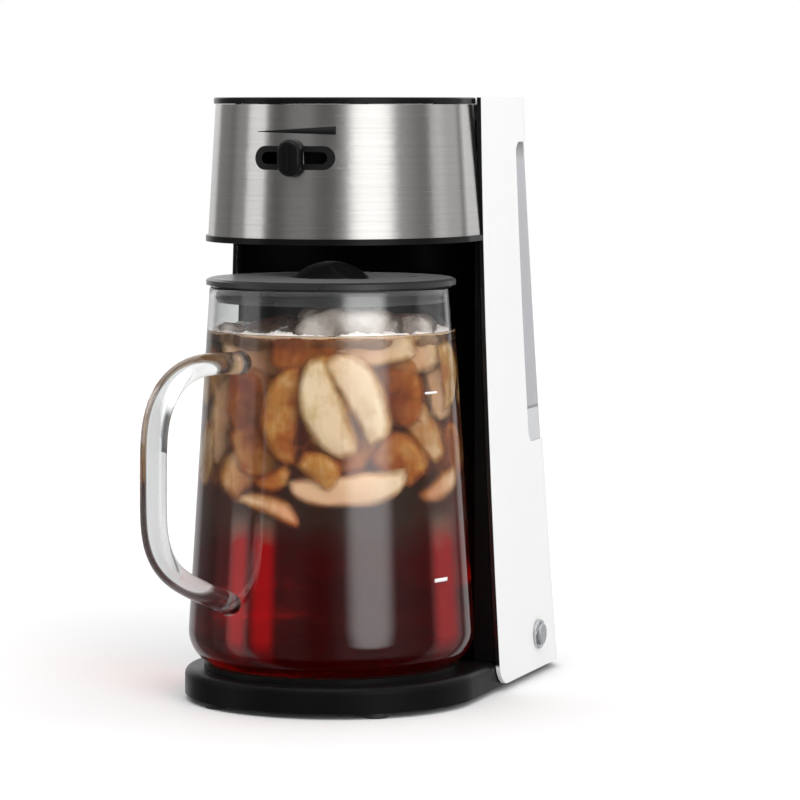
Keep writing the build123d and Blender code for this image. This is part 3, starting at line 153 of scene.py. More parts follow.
class Finish(Nodes):
    """A material under construction, around its Principled shader."""

    def __init__(self, name):
        self.material = bpy.data.materials.new(name)
        self.material.use_nodes = True
        super().__init__(self.material.node_tree)
        self.shader = self.tree.nodes["Principled BSDF"]
        self.output = self.tree.nodes["Material Output"]
        self.place = self.add("ShaderNodeTexCoord")

    def look(self, **sockets):
        """Feeds the shader's sockets, whose names have _ in place of each space."""
        for key, value in sockets.items():
            self.feed(self.shader.inputs[key.replace("_", " ")], value)

    def coordinates(self, stretch=(1, 1, 1)):
        """Object coordinates in metres, stretched along each axis."""
        mapping = self.add("ShaderNodeMapping")
        mapping.inputs["Scale"].default_value = stretch
        self.feed(mapping.inputs["Vector"], self.place.outputs["Object"])
        return mapping.outputs["Vector"]

    def noise(self, scale, detail=3.0, roughness=0.5, stretch=(1, 1, 1)):
        """Cloudy noise round 0.5, with this many waves to the metre."""
        node = self.add("ShaderNodeTexNoise")
        node.inputs["Scale"].default_value = scale
        node.inputs["Detail"].default_value = detail
        node.inputs["Roughness"].default_value = roughness
        self.feed(node.inputs["Vector"], self.coordinates(stretch))
        return node.outputs["Fac"]

    def vertex_value(self, name):
        return self.add("ShaderNodeAttribute", attribute_name=name).outputs["Fac"]

    def blend(self, share, first, second):
        """The first colour where the share is 0, and the second where it is 1."""
        node = self.add("ShaderNodeMix", data_type="RGBA")
        self.feed(node.inputs["Factor"], share)
        colours = [socket for socket in node.inputs if socket.type == "RGBA"]
        for socket, colour in zip(colours, (first, second)):
            self.feed(socket, colour)
        return next(socket for socket in node.outputs if socket.type == "RGBA")

    def bump(self, height, depth, strength=1.0):
        """Raises the surface with the height, by up to depth."""
        node = self.add("ShaderNodeBump")
        node.inputs["Strength"].default_value = strength
        node.inputs["Distance"].default_value = depth * MM
        self.feed(node.inputs["Height"], height)
        self.look(Normal=node.outputs["Normal"])


# ---- Finishes --------------------------------------------
CLOUD, ROUGH_CLOUD = 22, 60     # waves to the metre of a moulding's colour and roughness


def moulded(name, dark, light, rough, grain, depth, **sockets):
    """A moulded plastic, rubber or plain metal: its colour drifts from dark to light and its
    roughness between the two of rough, under a fine grain of waves to the metre."""
    made = Finish(name)
    made.look(Base_Color=made.blend(made.noise(CLOUD, detail=4), dark, light),
              Roughness=made.spread(made.noise(ROUGH_CLOUD, detail=5), *rough), **sockets)
    made.bump(made.noise(grain, detail=2), depth)
    return made


def brushed_steel():
    """Steel brushed along the band: fine level lines that change quickly with height only."""
    made = Finish("brushed_steel")
    lines = made.noise(1, detail=4, roughness=0.7, stretch=(14, 14, 3800))
    streaks = made.noise(1, detail=3, roughness=0.6, stretch=(5, 5, 700))
    tangent = made.add("ShaderNodeTangent", direction_type="RADIAL", axis="Z")
    made.look(Base_Color=made.blend(streaks, (0.56, 0.545, 0.53), (0.66, 0.645, 0.63)),
              Roughness=made.spread(lines, 0.16, 0.28), Metallic=1.0, Anisotropic=0.8,
              Anisotropic_Rotation=0.25, Tangent=tangent.outputs["Tangent"])
    made.bump(lines, 0.02, strength=0.6)
    return made


def lets_lamps_in(made, tint):
    """Lamps shine through as if unbent, so that what is inside is lit."""
    path = made.add("ShaderNodeLightPath")
    clear = made.add("ShaderNodeBsdfTransparent")
    made.feed(clear.inputs["Color"], tint)
    surface = made.mixed_shaders(path.outputs["Is Shadow Ray"], made.shader.outputs["BSDF"],
                                 clear.outputs["BSDF"])
    made.feed(made.output.inputs["Surface"], surface)


def gloss_off_where_marked(made):
    """Where the vertex value for this is 1, hardly any light is thrown back: as where tea touches
    glass, and where reflections are painted out."""
    made.look(Specular_Tint=made.blend(made.vertex_value("wet"), grey(1), grey(0)))


def clear_glass():
    """Clear glass with the faint waves of pressed ware."""
    made = Finish("clear_glass")
    made.look(Base_Color=made.blend(made.noise(12, detail=2), (0.955, 0.97, 0.965),
                                    (0.985, 0.992, 0.99)),
              Roughness=0.0, IOR=1.5, Transmission_Weight=1.0)
    made.bump(made.noise(16, detail=1), 0.2, strength=0.2)
    gloss_off_where_marked(made)
    lets_lamps_in(made, (0.95, 0.96, 0.96))
    return made


ICE_FOOT, ICE_DEEP = 100, 116   # heights between which the ice begins to thin the tea
TEA_WANDER = 30                 # how far that line wanders up and down
TEA_HAZE = 0.24                 # roughness of the thinned tea
TEA_CLEAR, PAINTED_GLOW_SHARE = 0.985, 0.36     # how clear tea is, and how much of that the painted light in it takes


def iced_tea():
    """Tea in the pitcher: pale amber and hazy where the ice has thinned it, dark red below. A
    vertex value paints light into it: bars of lighter red on the side that the camera looks at,
    standing in for light gathered by the round of the tea."""
    made = Finish("iced_tea")
    height = made.split(made.coordinates())[2]
    thinned = made.spread(made.scaled(made.noise(26), TEA_WANDER * MM, height), 0.0, 1.0,
                          ICE_FOOT * MM, ICE_DEEP * MM)
    # a vertex value lowers the clearness in bars: painted light, lighter red in the tea
    made.look(Base_Color=made.blend(thinned, (0.86, 0.012, 0.016), (0.75, 0.63, 0.45)),
              Roughness=made.scaled(thinned, TEA_HAZE), IOR=TEA_INDEX,
              Transmission_Weight=made.scaled(made.vertex_value("glow"), -PAINTED_GLOW_SHARE, TEA_CLEAR))
    gloss_off_where_marked(made)
    lets_lamps_in(made, (0.85, 0.7, 0.55))
    soak = made.add("ShaderNodeVolumeAbsorption")
    made.feed(soak.inputs["Color"], (0.985, 0.5, 0.25))
    soak.inputs["Density"].default_value = 24
    made.feed(made.output.inputs["Volume"], soak.outputs["Volume"])
    return made


ICE_INDEX = 1.31
# from clean ice to the darkest brown: tea colour with painted shade, for pieces deep in the tea
ICE_TEA_AND_SHADE = [(0.0, (0.86, 0.88, 0.88)), (0.25, (0.66, 0.62, 0.5)), (0.5, (0.52, 0.35, 0.13)),
              (0.75, (0.38, 0.15, 0.035)), (1.0, (0.2, 0.045, 0.015))]


def ice():
    """Cloudy ice in tea. A vertex value browns and darkens each piece: partly the tea's colour and
    partly painted shade, darkest for pieces deep in the tea and in the gaps between others.
    to_edge runs from 0 in its heart to 1 at its rim, where it is browner, partly a painted
    shaded outline, and melts away."""
    made = Finish("ice")
    to_edge, stain = made.vertex_value("to_edge"), made.vertex_value("stain")
    clouds = made.noise(60, detail=5, roughness=0.6)
    streaks = made.noise(1, detail=4, roughness=0.6, stretch=(260, 260, 60))
    # browning from the rim and from the piece's value: tea colour with painted shade
    share = made.scaled(to_edge, 0.5, stain)
    share = made.scaled(streaks, 0.5, made.scaled(clouds, 1.3, share))
    # the two noises add about 0.9 on the whole, so this takes off a little more than they add
    share = made.scaled(share, 1.0, -1.0)
    melt = made.scaled(made.noise(110, detail=4), 0.7, made.scaled(stain, 0.5, to_edge))
    made.look(Base_Color=made.colour_steps(share, ICE_TEA_AND_SHADE), Roughness=0.35, IOR=ICE_INDEX,
              Alpha=made.spread(melt, 1.0, 0.0, 0.6, 1.35), Subsurface_Weight=0.3,
              Subsurface_Scale=0.006, Subsurface_Radius=(1.0, 0.6, 0.35))
    made.bump(made.noise(120), 1.0, strength=0.5)
    return made


def wet_ice():
    """Ice that floats out of the tea: clear with a cloudy heart, with a film of water all over.
    It is darker where the vertex value to_edge, which holds its browning too, partly tea
    colour and partly painted shade, is greater."""
    made = Finish("wet_ice")
    edge = made.scaled(made.vertex_value("to_edge"), 0.35)
    share = made.scaled(made.noise(60, detail=4), 1.0, edge)
    made.look(Base_Color=made.blend(made.spread(share, 0.0, 1.0, 0.35, 0.85),
                                    (0.86, 0.79, 0.73), (0.42, 0.3, 0.24)),
              Transmission_Weight=made.spread(share, 0.45, 0.92, 0.4, 0.75),
              Roughness=0.05, IOR=ICE_INDEX)
    made.bump(made.noise(80), 1.2, strength=0.6)
    return made


SHELL_EDGE = (19.65, 19.8)      # y up to which the shell is coloured near black, to that from which it is white


def white_shell():
    """White plastic of the tower; the lip of its front edge is coloured near black, as dark as the
    column.
    """
    made = moulded("white_shell", (0.81, 0.815, 0.81), (0.84, 0.845, 0.84), rough=(0.3, 0.36),
                   grain=260, depth=0.02, Specular_IOR_Level=0.4)
    plain = made.shader.inputs["Base Color"].links[0].from_socket
    along = made.split(made.coordinates())[1]
    lip = made.spread(along, 1.0, 0.0, SHELL_EDGE[0] * MM, SHELL_EDGE[1] * MM)
    made.look(Base_Color=made.blend(lip, plain, grey(0.004)))
    return made


TANK_STEP = (147.5, 148.5)      # heights between which the window changes at the tank's step
TANK_LINE, TANK_LINE_HALF = 147.8, 0.8
WINDOW_PAINTED_SHADOW = (284, 292.5)     # heights between which a painted shadow darkens it under the tower's top


def window_plastic():
    """Smoked window: even grey above, a line at the step of the tank, paler under it, and a
    painted shadow that darkens it under the tower's top.
    """
    made = Finish("window_plastic")
    height = made.split(made.coordinates())[2]
    step, painted_shadow = ([z * MM for z in pair] for pair in (TANK_STEP, WINDOW_PAINTED_SHADOW))
    cloud = made.blend(made.noise(30, stretch=(1, 1, 0.3)), (0.34, 0.34, 0.36),
                       (0.43, 0.43, 0.46))
    colour = made.blend(made.spread(height, 0.0, 1.0, *step), (0.55, 0.56, 0.58), cloud)
    line = made.maths("COMPARE", height, TANK_LINE * MM, TANK_LINE_HALF * MM)
    colour = made.blend(line, colour, (0.2, 0.2, 0.22))
    # painted shadow: darker towards the tower's top
    colour = made.blend(made.spread(height, 0.0, 1.0, *painted_shadow), colour, (0.1, 0.1, 0.11))
    made.look(Base_Color=colour, Roughness=made.spread(made.noise(60, detail=4), 0.12, 0.22),
              Coat_Weight=0.3)
    made.bump(made.noise(300, detail=2), 0.02)
    return made


plain_finishes = {
    "black_plastic": dict(
        dark=grey(0.004), light=grey(0.007), rough=(0.4, 0.5), grain=700, depth=0.04,
        Specular_IOR_Level=0.22),
    "column_black": dict(
        dark=grey(0.002), light=grey(0.004), rough=(0.3, 0.4), grain=500, depth=0.01,
        Specular_IOR_Level=0.05),
    "gloss_black": dict(
        dark=grey(0.004), light=grey(0.007), rough=(0.16, 0.24), grain=600, depth=0.01,
        Specular_IOR_Level=0.15),
    "lid_black": dict(
        dark=grey(0.018), light=grey(0.028), rough=(0.26, 0.34), grain=700, depth=0.03,
        Specular_IOR_Level=0.5, Sheen_Weight=0.25, Sheen_Roughness=0.3),
    "base_black": dict(
        dark=grey(0.003), light=grey(0.006), rough=(0.26, 0.36), grain=600, depth=0.02,
        Specular_IOR_Level=0.08),
    "grey_plastic": dict(
        dark=(0.3, 0.3, 0.31), light=(0.36, 0.36, 0.37), rough=(0.4, 0.5), grain=800, depth=0.04),
    "button_plastic": dict(
        dark=(0.4, 0.41, 0.43), light=(0.5, 0.51, 0.53), rough=(0.22, 0.32), grain=900, depth=0.02,
        Metallic=0.6),
    "button_chrome": dict(
        dark=(0.55, 0.56, 0.58), light=(0.65, 0.66, 0.68), rough=(0.06, 0.14), grain=500,
        depth=0.02, Metallic=1.0),
    "steel_hardware": dict(
        dark=(0.5, 0.5, 0.51), light=(0.58, 0.58, 0.59), rough=(0.24, 0.36), grain=900, depth=0.03,
        Metallic=1.0),
    "aluminium": dict(
        dark=(0.6, 0.6, 0.61), light=(0.68, 0.68, 0.69), rough=(0.32, 0.45), grain=900, depth=0.04,
        Metallic=1.0),
    "rubber": dict(
        dark=grey(0.018), light=grey(0.026), rough=(0.7, 0.82), grain=700, depth=0.08),
    "silicone": dict(
        dark=(0.7, 0.7, 0.68), light=(0.78, 0.78, 0.76), rough=(0.42, 0.55), grain=600, depth=0.04,
        Subsurface_Weight=0.3, Subsurface_Scale=0.003),
    "seal_black": dict(
        dark=grey(0.01), light=grey(0.016), rough=(0.45, 0.6), grain=600, depth=0.04),
    "riser_plastic": dict(
        dark=(0.74, 0.74, 0.72), light=(0.82, 0.82, 0.8), rough=(0.35, 0.45), grain=700, depth=0.04,
        Subsurface_Weight=0.2, Subsurface_Scale=0.003),
    "filter_nylon": dict(
        dark=(0.5, 0.47, 0.36), light=(0.66, 0.62, 0.5), rough=(0.5, 0.62), grain=3000, depth=0.2),
    "tank_plastic": dict(
        dark=(0.6, 0.61, 0.65), light=(0.68, 0.69, 0.73), rough=(0.3, 0.42), grain=600, depth=0.03,
        Transmission_Weight=0.35),
    "froth": dict(
        dark=(0.7, 0.58, 0.54), light=(0.93, 0.87, 0.84), rough=(0.2, 0.4), grain=900, depth=0.6,
        Subsurface_Weight=0.3, Subsurface_Scale=0.004),
    "mark_print": dict(
        dark=grey(0.8), light=grey(0.88), rough=(0.4, 0.5), grain=2500, depth=0.03),
    "wedge_print": dict(
        dark=grey(0.006), light=grey(0.012), rough=(0.5, 0.6), grain=2500, depth=0.03,
        Specular_IOR_Level=0.12),
}
finishes = {name: moulded(name, **look) for name, look in plain_finishes.items()}
finishes |= {"white_shell": white_shell(), "window_plastic": window_plastic(),
             "brushed_steel": brushed_steel(), "clear_glass": clear_glass(),
             "iced_tea": iced_tea(), "ice": ice(), "wet_ice": wet_ice()}

# each node has the finish of its material slot, apart from three
finish_of = {row["node"]: row["material_slot"] for row in frame["record"]["subparts"]}
finish_of |= {"base_shell": "base_black", "column_front": "column_black",
              "pitcher_lid_seal": "seal_black"}
for node, thing in frame["nodes"].items():
    thing.data.materials.clear()
    thing.data.materials.append(finishes[finish_of[node]].material)


# ---- Mesh helpers ----------------------------------------
SAME_PLACE = 1e-6       # metres within which points are merged


def make_piece(name, points, finish, body, slot, closed=(True, False), **values):
    """A surface from a grid of points, rows by columns by 3. closed says whether the columns
    join into a ring and whether the rows do. Points that fall together at a pole or seam are
    merged, and the faces then point outwards. Each of values is a vertex attribute, with a
    number for each point of the grid."""
    rows, columns = points.shape[:2]
    i = np.arange(rows if closed[1] else rows - 1)
    j = np.arange(columns if closed[0] else columns - 1)
    i, j = np.meshgrid(i, j, indexing="ij")
    next_i, next_j = (i + 1) % rows, (j + 1) % columns
    quads = np.stack([i * columns + j, i * columns + next_j,
                      next_i * columns + next_j, next_i * columns + j], -1).reshape(-1, 4)
    mesh = bpy.data.meshes.new(name)
    mesh.from_pydata((points.reshape(-1, 3) * MM).tolist(), [], quads.tolist())
    for key, value in values.items():
        layer = mesh.attributes.new(key, "FLOAT", "POINT")
        layer.data.foreach_set("value", np.asarray(value, np.float32).ravel())
    shape = bmesh.new()
    shape.from_mesh(mesh)
    bmesh.ops.remove_doubles(shape, verts=shape.verts, dist=SAME_PLACE)
    bmesh.ops.recalc_face_normals(shape, faces=shape.faces)
    shape.to_mesh(mesh)
    shape.free()
    mesh.polygons.foreach_set("use_smooth", [True] * len(mesh.polygons))
    mesh.materials.append(finishes[finish].material)
    thing = bpy.data.objects.new(name, mesh)
    bpy.context.scene.collection.objects.link(thing)
    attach(thing, body)
    return thing


def full_turn(count):
    """Angles at even steps round a full turn, which stop one step short of its start."""
    return np.arange(count) * TAU / count


def squarer(share, power):
    """A sine or cosine, taken to a power with its sign kept. Under 1, it squares a circle."""
    return np.sign(share) * np.abs(share) ** power


def with_ends(points):
    """A tube's rings with a ring more at each end, drawn together at its middle to close it."""
    ends = [np.repeat(points[end].mean(0)[None, None], points.shape[1], 1) for end in (0, -1)]
    return np.concatenate([ends[0], points, ends[1]])


def round_points(profile, columns):
    """The profile, points of radius and height, turned about the pitcher's axis."""
    turn = full_turn(columns)
    return np.stack([profile[:, :1] * np.cos(turn), AXIS_Y + profile[:, :1] * np.sin(turn),
                     np.repeat(profile[:, 1:], columns, 1)], -1)


def on_camera_side(right, near, z):
    """Points this far to the right of the pitcher's axis and this far on the camera's side."""
    return np.stack([right * across.x - near * towards.x,
                     AXIS_Y + right * across.y - near * towards.y, z], -1)


def softened(corners, radius, steps):
    """A profile through the corners, with each inner one rounded by a quadratic curve, which
    leaves one side and meets the other at the radius or at 0.45 of the shorter side."""
    corners = np.asarray(corners, float)
    t = np.linspace(0, 1, steps)[:, None]
    line = [corners[:1]]
    for before, here, after in zip(corners, corners[1:], corners[2:]):
        back, on = np.linalg.norm(before - here), np.linalg.norm(after - here)
        reach = min(radius, 0.45 * back, 0.45 * on)
        start = here + (before - here) / back * reach
        end = here + (after - here) / on * reach
        line.append((1 - t) ** 2 * start + 2 * t * (1 - t) * here + t * t * end)
    return np.concatenate([*line, corners[-1:]])


# ---- Pitcher glass ---------------------------------------
FOOT, BELLY, RIM = 20.0, 38.0, 219.0            # heights of the foot, widest place and rim
FOOT_R, BELLY_R, RIM_R = 62.0, 75.8, 64.0       # outside radii there
WALL, RIM_ROUND = 3.0, 1.4
UNDER_RIM = 214.0                               # height where the rim's round begins
FLOOR = FOOT + 5                                # inside of the bottom
INNER_FOOT_R, INNER_BELLY = FOOT_R - 2, BELLY + 2
FLAT_R = 40.0                                   # the bottom is level out to here
FOOT_RISE = 0.6                                 # how far the bottom is raised off the foot
GLASS_COLUMNS = 256
TEA_TOP = 195.0


def wall_radius(z):
    """Outside radius of the pitcher's leaning wall at height z."""
    return BELLY_R - (BELLY_R - RIM_R) * (z - BELLY) / (RIM - BELLY)


def belly_curve(foot_r, foot_z, wall_r, wall_z, steps=14):
    """Cubic curve from the flat foot, level at first, up into the leaning wall. Its handles
    are a third of 1.1 times the straight way."""
    lean = (RIM_R - BELLY_R) / (RIM - BELLY)
    size = 1.1 * math.hypot(wall_r - foot_r, wall_z - foot_z)
    a, d = np.array([foot_r, foot_z]), np.array([wall_r, wall_z])
    b = a + np.array([1, 0]) * size / 3
    c = d - np.array([lean, 1]) / math.hypot(lean, 1) * size / 3
    t = np.linspace(0, 1, steps)[:, None]
    return (1 - t) ** 3 * a + 3 * t * (1 - t) ** 2 * b + 3 * t * t * (1 - t) * c + t**3 * d


def up_the_wall(low, high, inwards, steps):
    """Straight up the leaning wall from low to high, this far in from its outside."""
    z = np.linspace(low, high, steps)
    return np.stack([wall_radius(z) - inwards, z], 1)


rim_curve = softened([(wall_radius(UNDER_RIM), UNDER_RIM), (RIM_R, RIM), (RIM_R - WALL, RIM),
                      (wall_radius(UNDER_RIM) - WALL, UNDER_RIM)], RIM_ROUND, 7)[1:-1]
glass_profile = np.concatenate([
    [(0, FOOT + FOOT_RISE), (FLAT_R, FOOT + FOOT_RISE), (FOOT_R - 8, FOOT + FOOT_RISE / 2)],
    belly_curve(FOOT_R, FOOT, BELLY_R, BELLY),
    up_the_wall(BELLY, UNDER_RIM, 0, 24)[1:],
    rim_curve,
    up_the_wall(INNER_BELLY, UNDER_RIM, WALL, 24)[::-1],
    belly_curve(INNER_FOOT_R, FLOOR, BELLY_R - WALL, INNER_BELLY)[::-1][1:],
    [(FLAT_R, FLOOR), (0, FLOOR)],
])
glass_r, glass_z = glass_profile.T

# 1 on the side of the pitcher that the camera looks at and 0 on the far side, by column
turned_from_lens = full_turn(GLASS_COLUMNS) - math.atan2(-towards.y, -towards.x)
facing_lens = (np.cos(turned_from_lens) > -0.1).astype(float)
in_the_pitcher = (glass_r < wall_radius(glass_z) - WALL / 2) | (glass_z < FLOOR + 1)
in_the_pitcher &= glass_z > FLOOR - 1
under_tea = (in_the_pitcher & (glass_z < TEA_TOP)).astype(float)[:, None]
# gloss off where tea touches the glass, and all over the far side from the camera, so that it
# throws no light back: reflections painted out there
pitcher = make_piece("pitcher_glass_wall", round_points(glass_profile, GLASS_COLUMNS),
                     "clear_glass", "pitcher", "clear_glass",
                     wet=np.maximum(under_tea * facing_lens, 1 - facing_lens))
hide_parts("pitcher_glass")


# ---- Tea -------------------------------------------------
SINK = 0.35             # how far the tea's skin lies inside the glass, to leave no gap
CREEP = 1.2             # how far tea climbs the glass above its level
tea_profile = np.concatenate([
    [(0, FLOOR - SINK), (FLAT_R, FLOOR - SINK)],
    belly_curve(INNER_FOOT_R, FLOOR - SINK, BELLY_R - WALL + SINK, INNER_BELLY),
    up_the_wall(INNER_BELLY, TEA_TOP + CREEP, WALL - SINK, 30)[1:],
    [(wall_radius(TEA_TOP) - WALL - 0.4, TEA_TOP + 0.5), (wall_radius(TEA_TOP) - WALL - 2, TEA_TOP),
     (FLAT_R, TEA_TOP), (0, TEA_TOP)],
])
on_glass = (np.abs(tea_profile[:, 1] - TEA_TOP) > 0.1).astype(float)[:, None]

# middle and half width, as sines of the turn from the lens, and strength of each bar of painted
# light
PAINTED_GLOW_BARS = [(-0.67, 0.06, 1.0), (-0.49, 0.075, 0.8), (0.81, 0.08, 0.55)]
PAINTED_GLOW_FOOT, PAINTED_GLOW_FOOT_FADE = 27, 12
PAINTED_GLOW_TOP, PAINTED_GLOW_TOP_FADE = 106, 18


def glow():
    """Painted light, standing in for light gathered by the round of the tea, at each profile
    point and column: a sum of exp(-((s - middle) / half) ** 4), with s the sine of the turn
    from the lens, between the foot and the ice. It is painted on the side that the camera
    looks at."""
    s = np.where(facing_lens > 0, np.sin(turned_from_lens), 2.0)
    bars = sum(strength * np.exp(-((s - middle) / half) ** 4)
               for middle, half, strength in PAINTED_GLOW_BARS)
    z = tea_profile[:, 1:]
    shown = (np.clip((z - PAINTED_GLOW_FOOT) / PAINTED_GLOW_FOOT_FADE, 0, 1)
             * np.clip((PAINTED_GLOW_TOP - z) / PAINTED_GLOW_TOP_FADE, 0, 1))
    return bars[None, :] * shown


# the tea, with its bars of painted light
make_piece("iced_tea", round_points(tea_profile, GLASS_COLUMNS), "iced_tea", "pitcher",
           "clear_glass", wet=on_glass * facing_lens, glow=glow())


# ---- Ice -------------------------------------------------
ICE_CLEAR = 0.8         # least gap from a piece of ice to the inside of the glass
ICE_RIM = 6.0           # how deep the rim of a piece is, where it is browned, partly with painted shade, and melts


def inside_tea(side, z, depth):
    """The point at a depth in the tea, on a level ray from the lens that meets the glass at
    side and bends there. side is how far to the right of the axis it meets the glass."""
    radius = wall_radius(z)
    bend = math.asin(side / radius) - math.asin(side / radius / TEA_INDEX)
    right = side - depth * math.sin(bend)
    near = math.sqrt(radius**2 - side**2) - depth * math.cos(bend)
    return on_camera_side(right, near, z)


def half_moon(length, width, thick, hollow, blunt, seed, stain):
    """A half-moon of ice, centred and lying along its z. At share t of its length the outer
    edge stands width*sin(pi t)^blunt from the chord and the inner edge hollow times that,
    with a rounded section between them. A few slow waves make it uneven. The second result
    is 1 at the rim and falls to 0 at ICE_RIM from it, and the third is the browning, partly
    tea colour and partly painted shade, which grows from the outer edge to the inner one."""
    phase = np.random.default_rng(seed).uniform(0, TAU, 8)
    t = np.linspace(0, 1, 33)[:, None]
    around = full_turn(36)[None, :]
    swell = np.sin(math.pi * t) ** blunt
    outer = width * swell * (1 + 0.05 * np.sin(9 * t + phase[0]))
    inner = hollow * width * swell * (1 + 0.25 * np.sin(7 * t + phase[1]))
    half, middle = (outer - inner) / 2, (outer + inner) / 2
    outwards = squarer(np.cos(around), 0.7)
    x = middle + half * outwards
    y = thick / 2 * swell**0.5 * squarer(np.sin(around), 0.6)
    z = -length / 2 * np.cos(math.pi * t) * np.ones_like(around)
    lump = (1 + 0.03 * np.sin(3 * around + phase[2] + 5 * t)
            + 0.025 * np.sin(5 * around - 11 * t + phase[3]) + 0.02 * np.sin(23 * t + phase[4]))
    x = (x - width * (1 + hollow) / 2) * lump + 0.5 * np.sin(6 * t + phase[5])
    y = y * lump + 0.6 * np.sin(4 * t + phase[6])
    from_side = np.abs(half) * (1 - np.abs(outwards))
    from_end = length / 2 * (1 - np.abs(np.cos(math.pi * t)))
    to_edge = np.clip(1 - np.minimum(from_side, from_end) / ICE_RIM, 0, 1)
    inner_share = (1 - outwards) / 2 * np.ones_like(t)
    return np.stack([x, y, z], -1), to_edge, stain + 0.3 * (inner_share - 0.5)


def turned(points, roll, yaw=0.0, tip=0.0):
    """Points turned about the upright by yaw, back by tip and in the picture's plane by roll,
    then set with x to the right and y away from the front."""
    roll, yaw, tip = (math.radians(angle) for angle in (roll, yaw, tip))
    x, y, z = points[..., 0], points[..., 1], points[..., 2]
    x, y = x * math.cos(yaw) - y * math.sin(yaw), x * math.sin(yaw) + y * math.cos(yaw)
    y, z = y * math.cos(tip) - z * math.sin(tip), y * math.sin(tip) + z * math.cos(tip)
    x, z = x * math.cos(roll) + z * math.sin(roll), -x * math.sin(roll) + z * math.cos(roll)
    return np.stack([x * across.x + y * towards.x, x * across.y + y * towards.y, z], -1)


def clear_of_glass(points, tries=8):
    """The points moved level towards the axis until none is nearer the glass than ICE_CLEAR."""
    for _ in range(tries):
        radius = np.hypot(points[..., 0], points[..., 1] - AXIS_Y)
        over = radius - (wall_radius(points[..., 2]) - WALL - ICE_CLEAR)
        worst = np.unravel_index(np.argmax(over), over.shape)
        if over[worst] <= 0:
            break
        at = points[worst] - np.array([0, AXIS_Y, 0])
        points = points - np.array([at[0], at[1], 0]) / radius[worst] * over[worst]
    return points


def ice_piece(name, seed, stain, side, z, depth, size, roll, hollow=-0.1, blunt=0.7, yaw=0.0,
              tip=0.0, about=0.0):
    """One piece of ice, made in front of the lens and carried about the axis by an angle."""
    points, to_edge, stain = half_moon(*size, hollow, blunt, seed, stain)
    points = turned(points, roll, yaw, tip) + inside_tea(side, z, depth)
    x, y = points[..., 0].copy(), points[..., 1] - AXIS_Y
    points[..., 0] = x * math.cos(about) - y * math.sin(about)
    points[..., 1] = AXIS_Y + x * math.sin(about) + y * math.cos(about)
    make_piece(name, clear_of_glass(points), "ice", "pitcher", "clear_glass", to_edge=to_edge,
               stain=stain)


# name, browning (tea colour and painted shade), side, height, depth, (length, width, thickness),
# roll, hollow, bluntness;
# a width below 0 puts the outer edge on the left
near_ice = [
    ("ice_left_tall", 0.7, -28, 156, 12, (58, -25, 15), 6, 0.0, 0.85),
    ("ice_middle", 0.16, -3.5, 158.5, 10, (57, -20, 15), -18, -0.25, 0.7),
    ("ice_upper_right", 0.2, 16.5, 165, 12, (54, 23, 15), -29, -0.05, 0.6),
    ("ice_low", -0.1, 16, 116, 8, (60, 19, 14), 84, -0.05, 0.85),
    ("ice_left_wedge", 0.42, -53, 127, 9, (38, -22, 13), 38, -0.2, 0.9),
    ("ice_left_low", 0.2, -37, 108, 10, (36, 15, 11), -66, 0.1, 0.9),
    ("ice_left_small", 0.66, -30, 122, 14, (24, 13, 10), 60, -0.2, 0.8),
    ("ice_centre_low", 0.72, -6, 128, 13, (28, 16, 12), -52, -0.3, 0.7),
    ("ice_right_wedge", 0.4, 54, 147, 10, (44, 18, 13), -42, -0.15, 0.7),
    ("ice_right_top", 0.08, 52, 183, 7, (36, 16, 12), 84, -0.4, 0.5),
    ("ice_right_upper", 0.12, 62, 164, 6, (32, 18, 11), 12, -0.3, 0.6),
    ("ice_right_middle", 0.74, 38, 132, 16, (34, 25, 13), -45, -0.2, 0.7),
    ("ice_right_low", 0.2, 65, 115, 6, (30, 15, 10), 50, 0.0, 0.9),
    ("ice_far_left", 0.16, -63, 152, 5, (56, -15, 10), 4, -0.2, 0.6),
    ("ice_upper_left", -0.1, -52, 184, 5, (42, 18, 12), 82, -0.5, 0.5),
    ("ice_upper_middle", 0.16, 26, 188, 14, (46, 14, 12), 88, -0.5, 0.5),
    ("ice_upper_centre", 0.78, -14, 186, 20, (40, 17, 12), 94, -0.5, 0.5),
    ("ice_right_gap", 1.0, 37, 163, 22, (38, 26, 13), 10, -0.3, 0.7),
    ("ice_left_gap", 0.86, -47, 160, 18, (44, 24, 13), -12, -0.4, 0.7),
    ("ice_left_glow", 0.7, -40, 136, 20, (36, 26, 13), 70, -0.4, 0.7),
    ("ice_centre_gap", 0.9, 4, 138, 26, (44, 26, 13), 60, -0.4, 0.7),
]
for seed, (name, *row) in enumerate(near_ice):
    ice_piece(name, seed, *row)

# deeper in the tea, behind those, browned and darkened by painted shade; every third piece is a
# little paler
BEHIND_COUNT, BEHIND_SEED = 18, 40
draw = np.random.default_rng(11)
for number in range(BEHIND_COUNT):
    side, z = draw.uniform(-50, 50), draw.uniform(124, 180)
    size = (draw.uniform(36, 50), draw.uniform(16, 22), draw.uniform(13, 17))
    depth, roll = draw.uniform(28, 50), draw.uniform(-80, 80)
    yaw, tip = draw.uniform(-30, 30), draw.uniform(-20, 20)
    stain = 0.9 if number % 3 else 0.68
    ice_piece(f"ice_behind_{number:02d}", BEHIND_SEED + number, stain, side, z, depth, size, roll,
              yaw=yaw, tip=tip)

# the sides and back of the pitcher, in two rings, by degrees about the axis from the lens
RING_COUNT, RING_SEED = 11, 70
RING_START, RING_SWEEP = 72, 216
RING_HEIGHTS = (138, 170)
for number in range(RING_COUNT * len(RING_HEIGHTS)):
    size = (draw.uniform(36, 48), draw.uniform(21, 28), draw.uniform(12, 15))
    about = RING_START + RING_SWEEP * (number % RING_COUNT) / (RING_COUNT - 1)
    about += draw.uniform(-5, 5)
    z = RING_HEIGHTS[number // RING_COUNT] + draw.uniform(-8, 8)
    stain, depth, roll = draw.uniform(0.35, 0.85), draw.uniform(9, 14), draw.uniform(-75, 35)
    ice_piece(f"ice_round_{number:02d}", RING_SEED + number, stain, 0, z, depth, size, roll,
              about=math.radians(about))


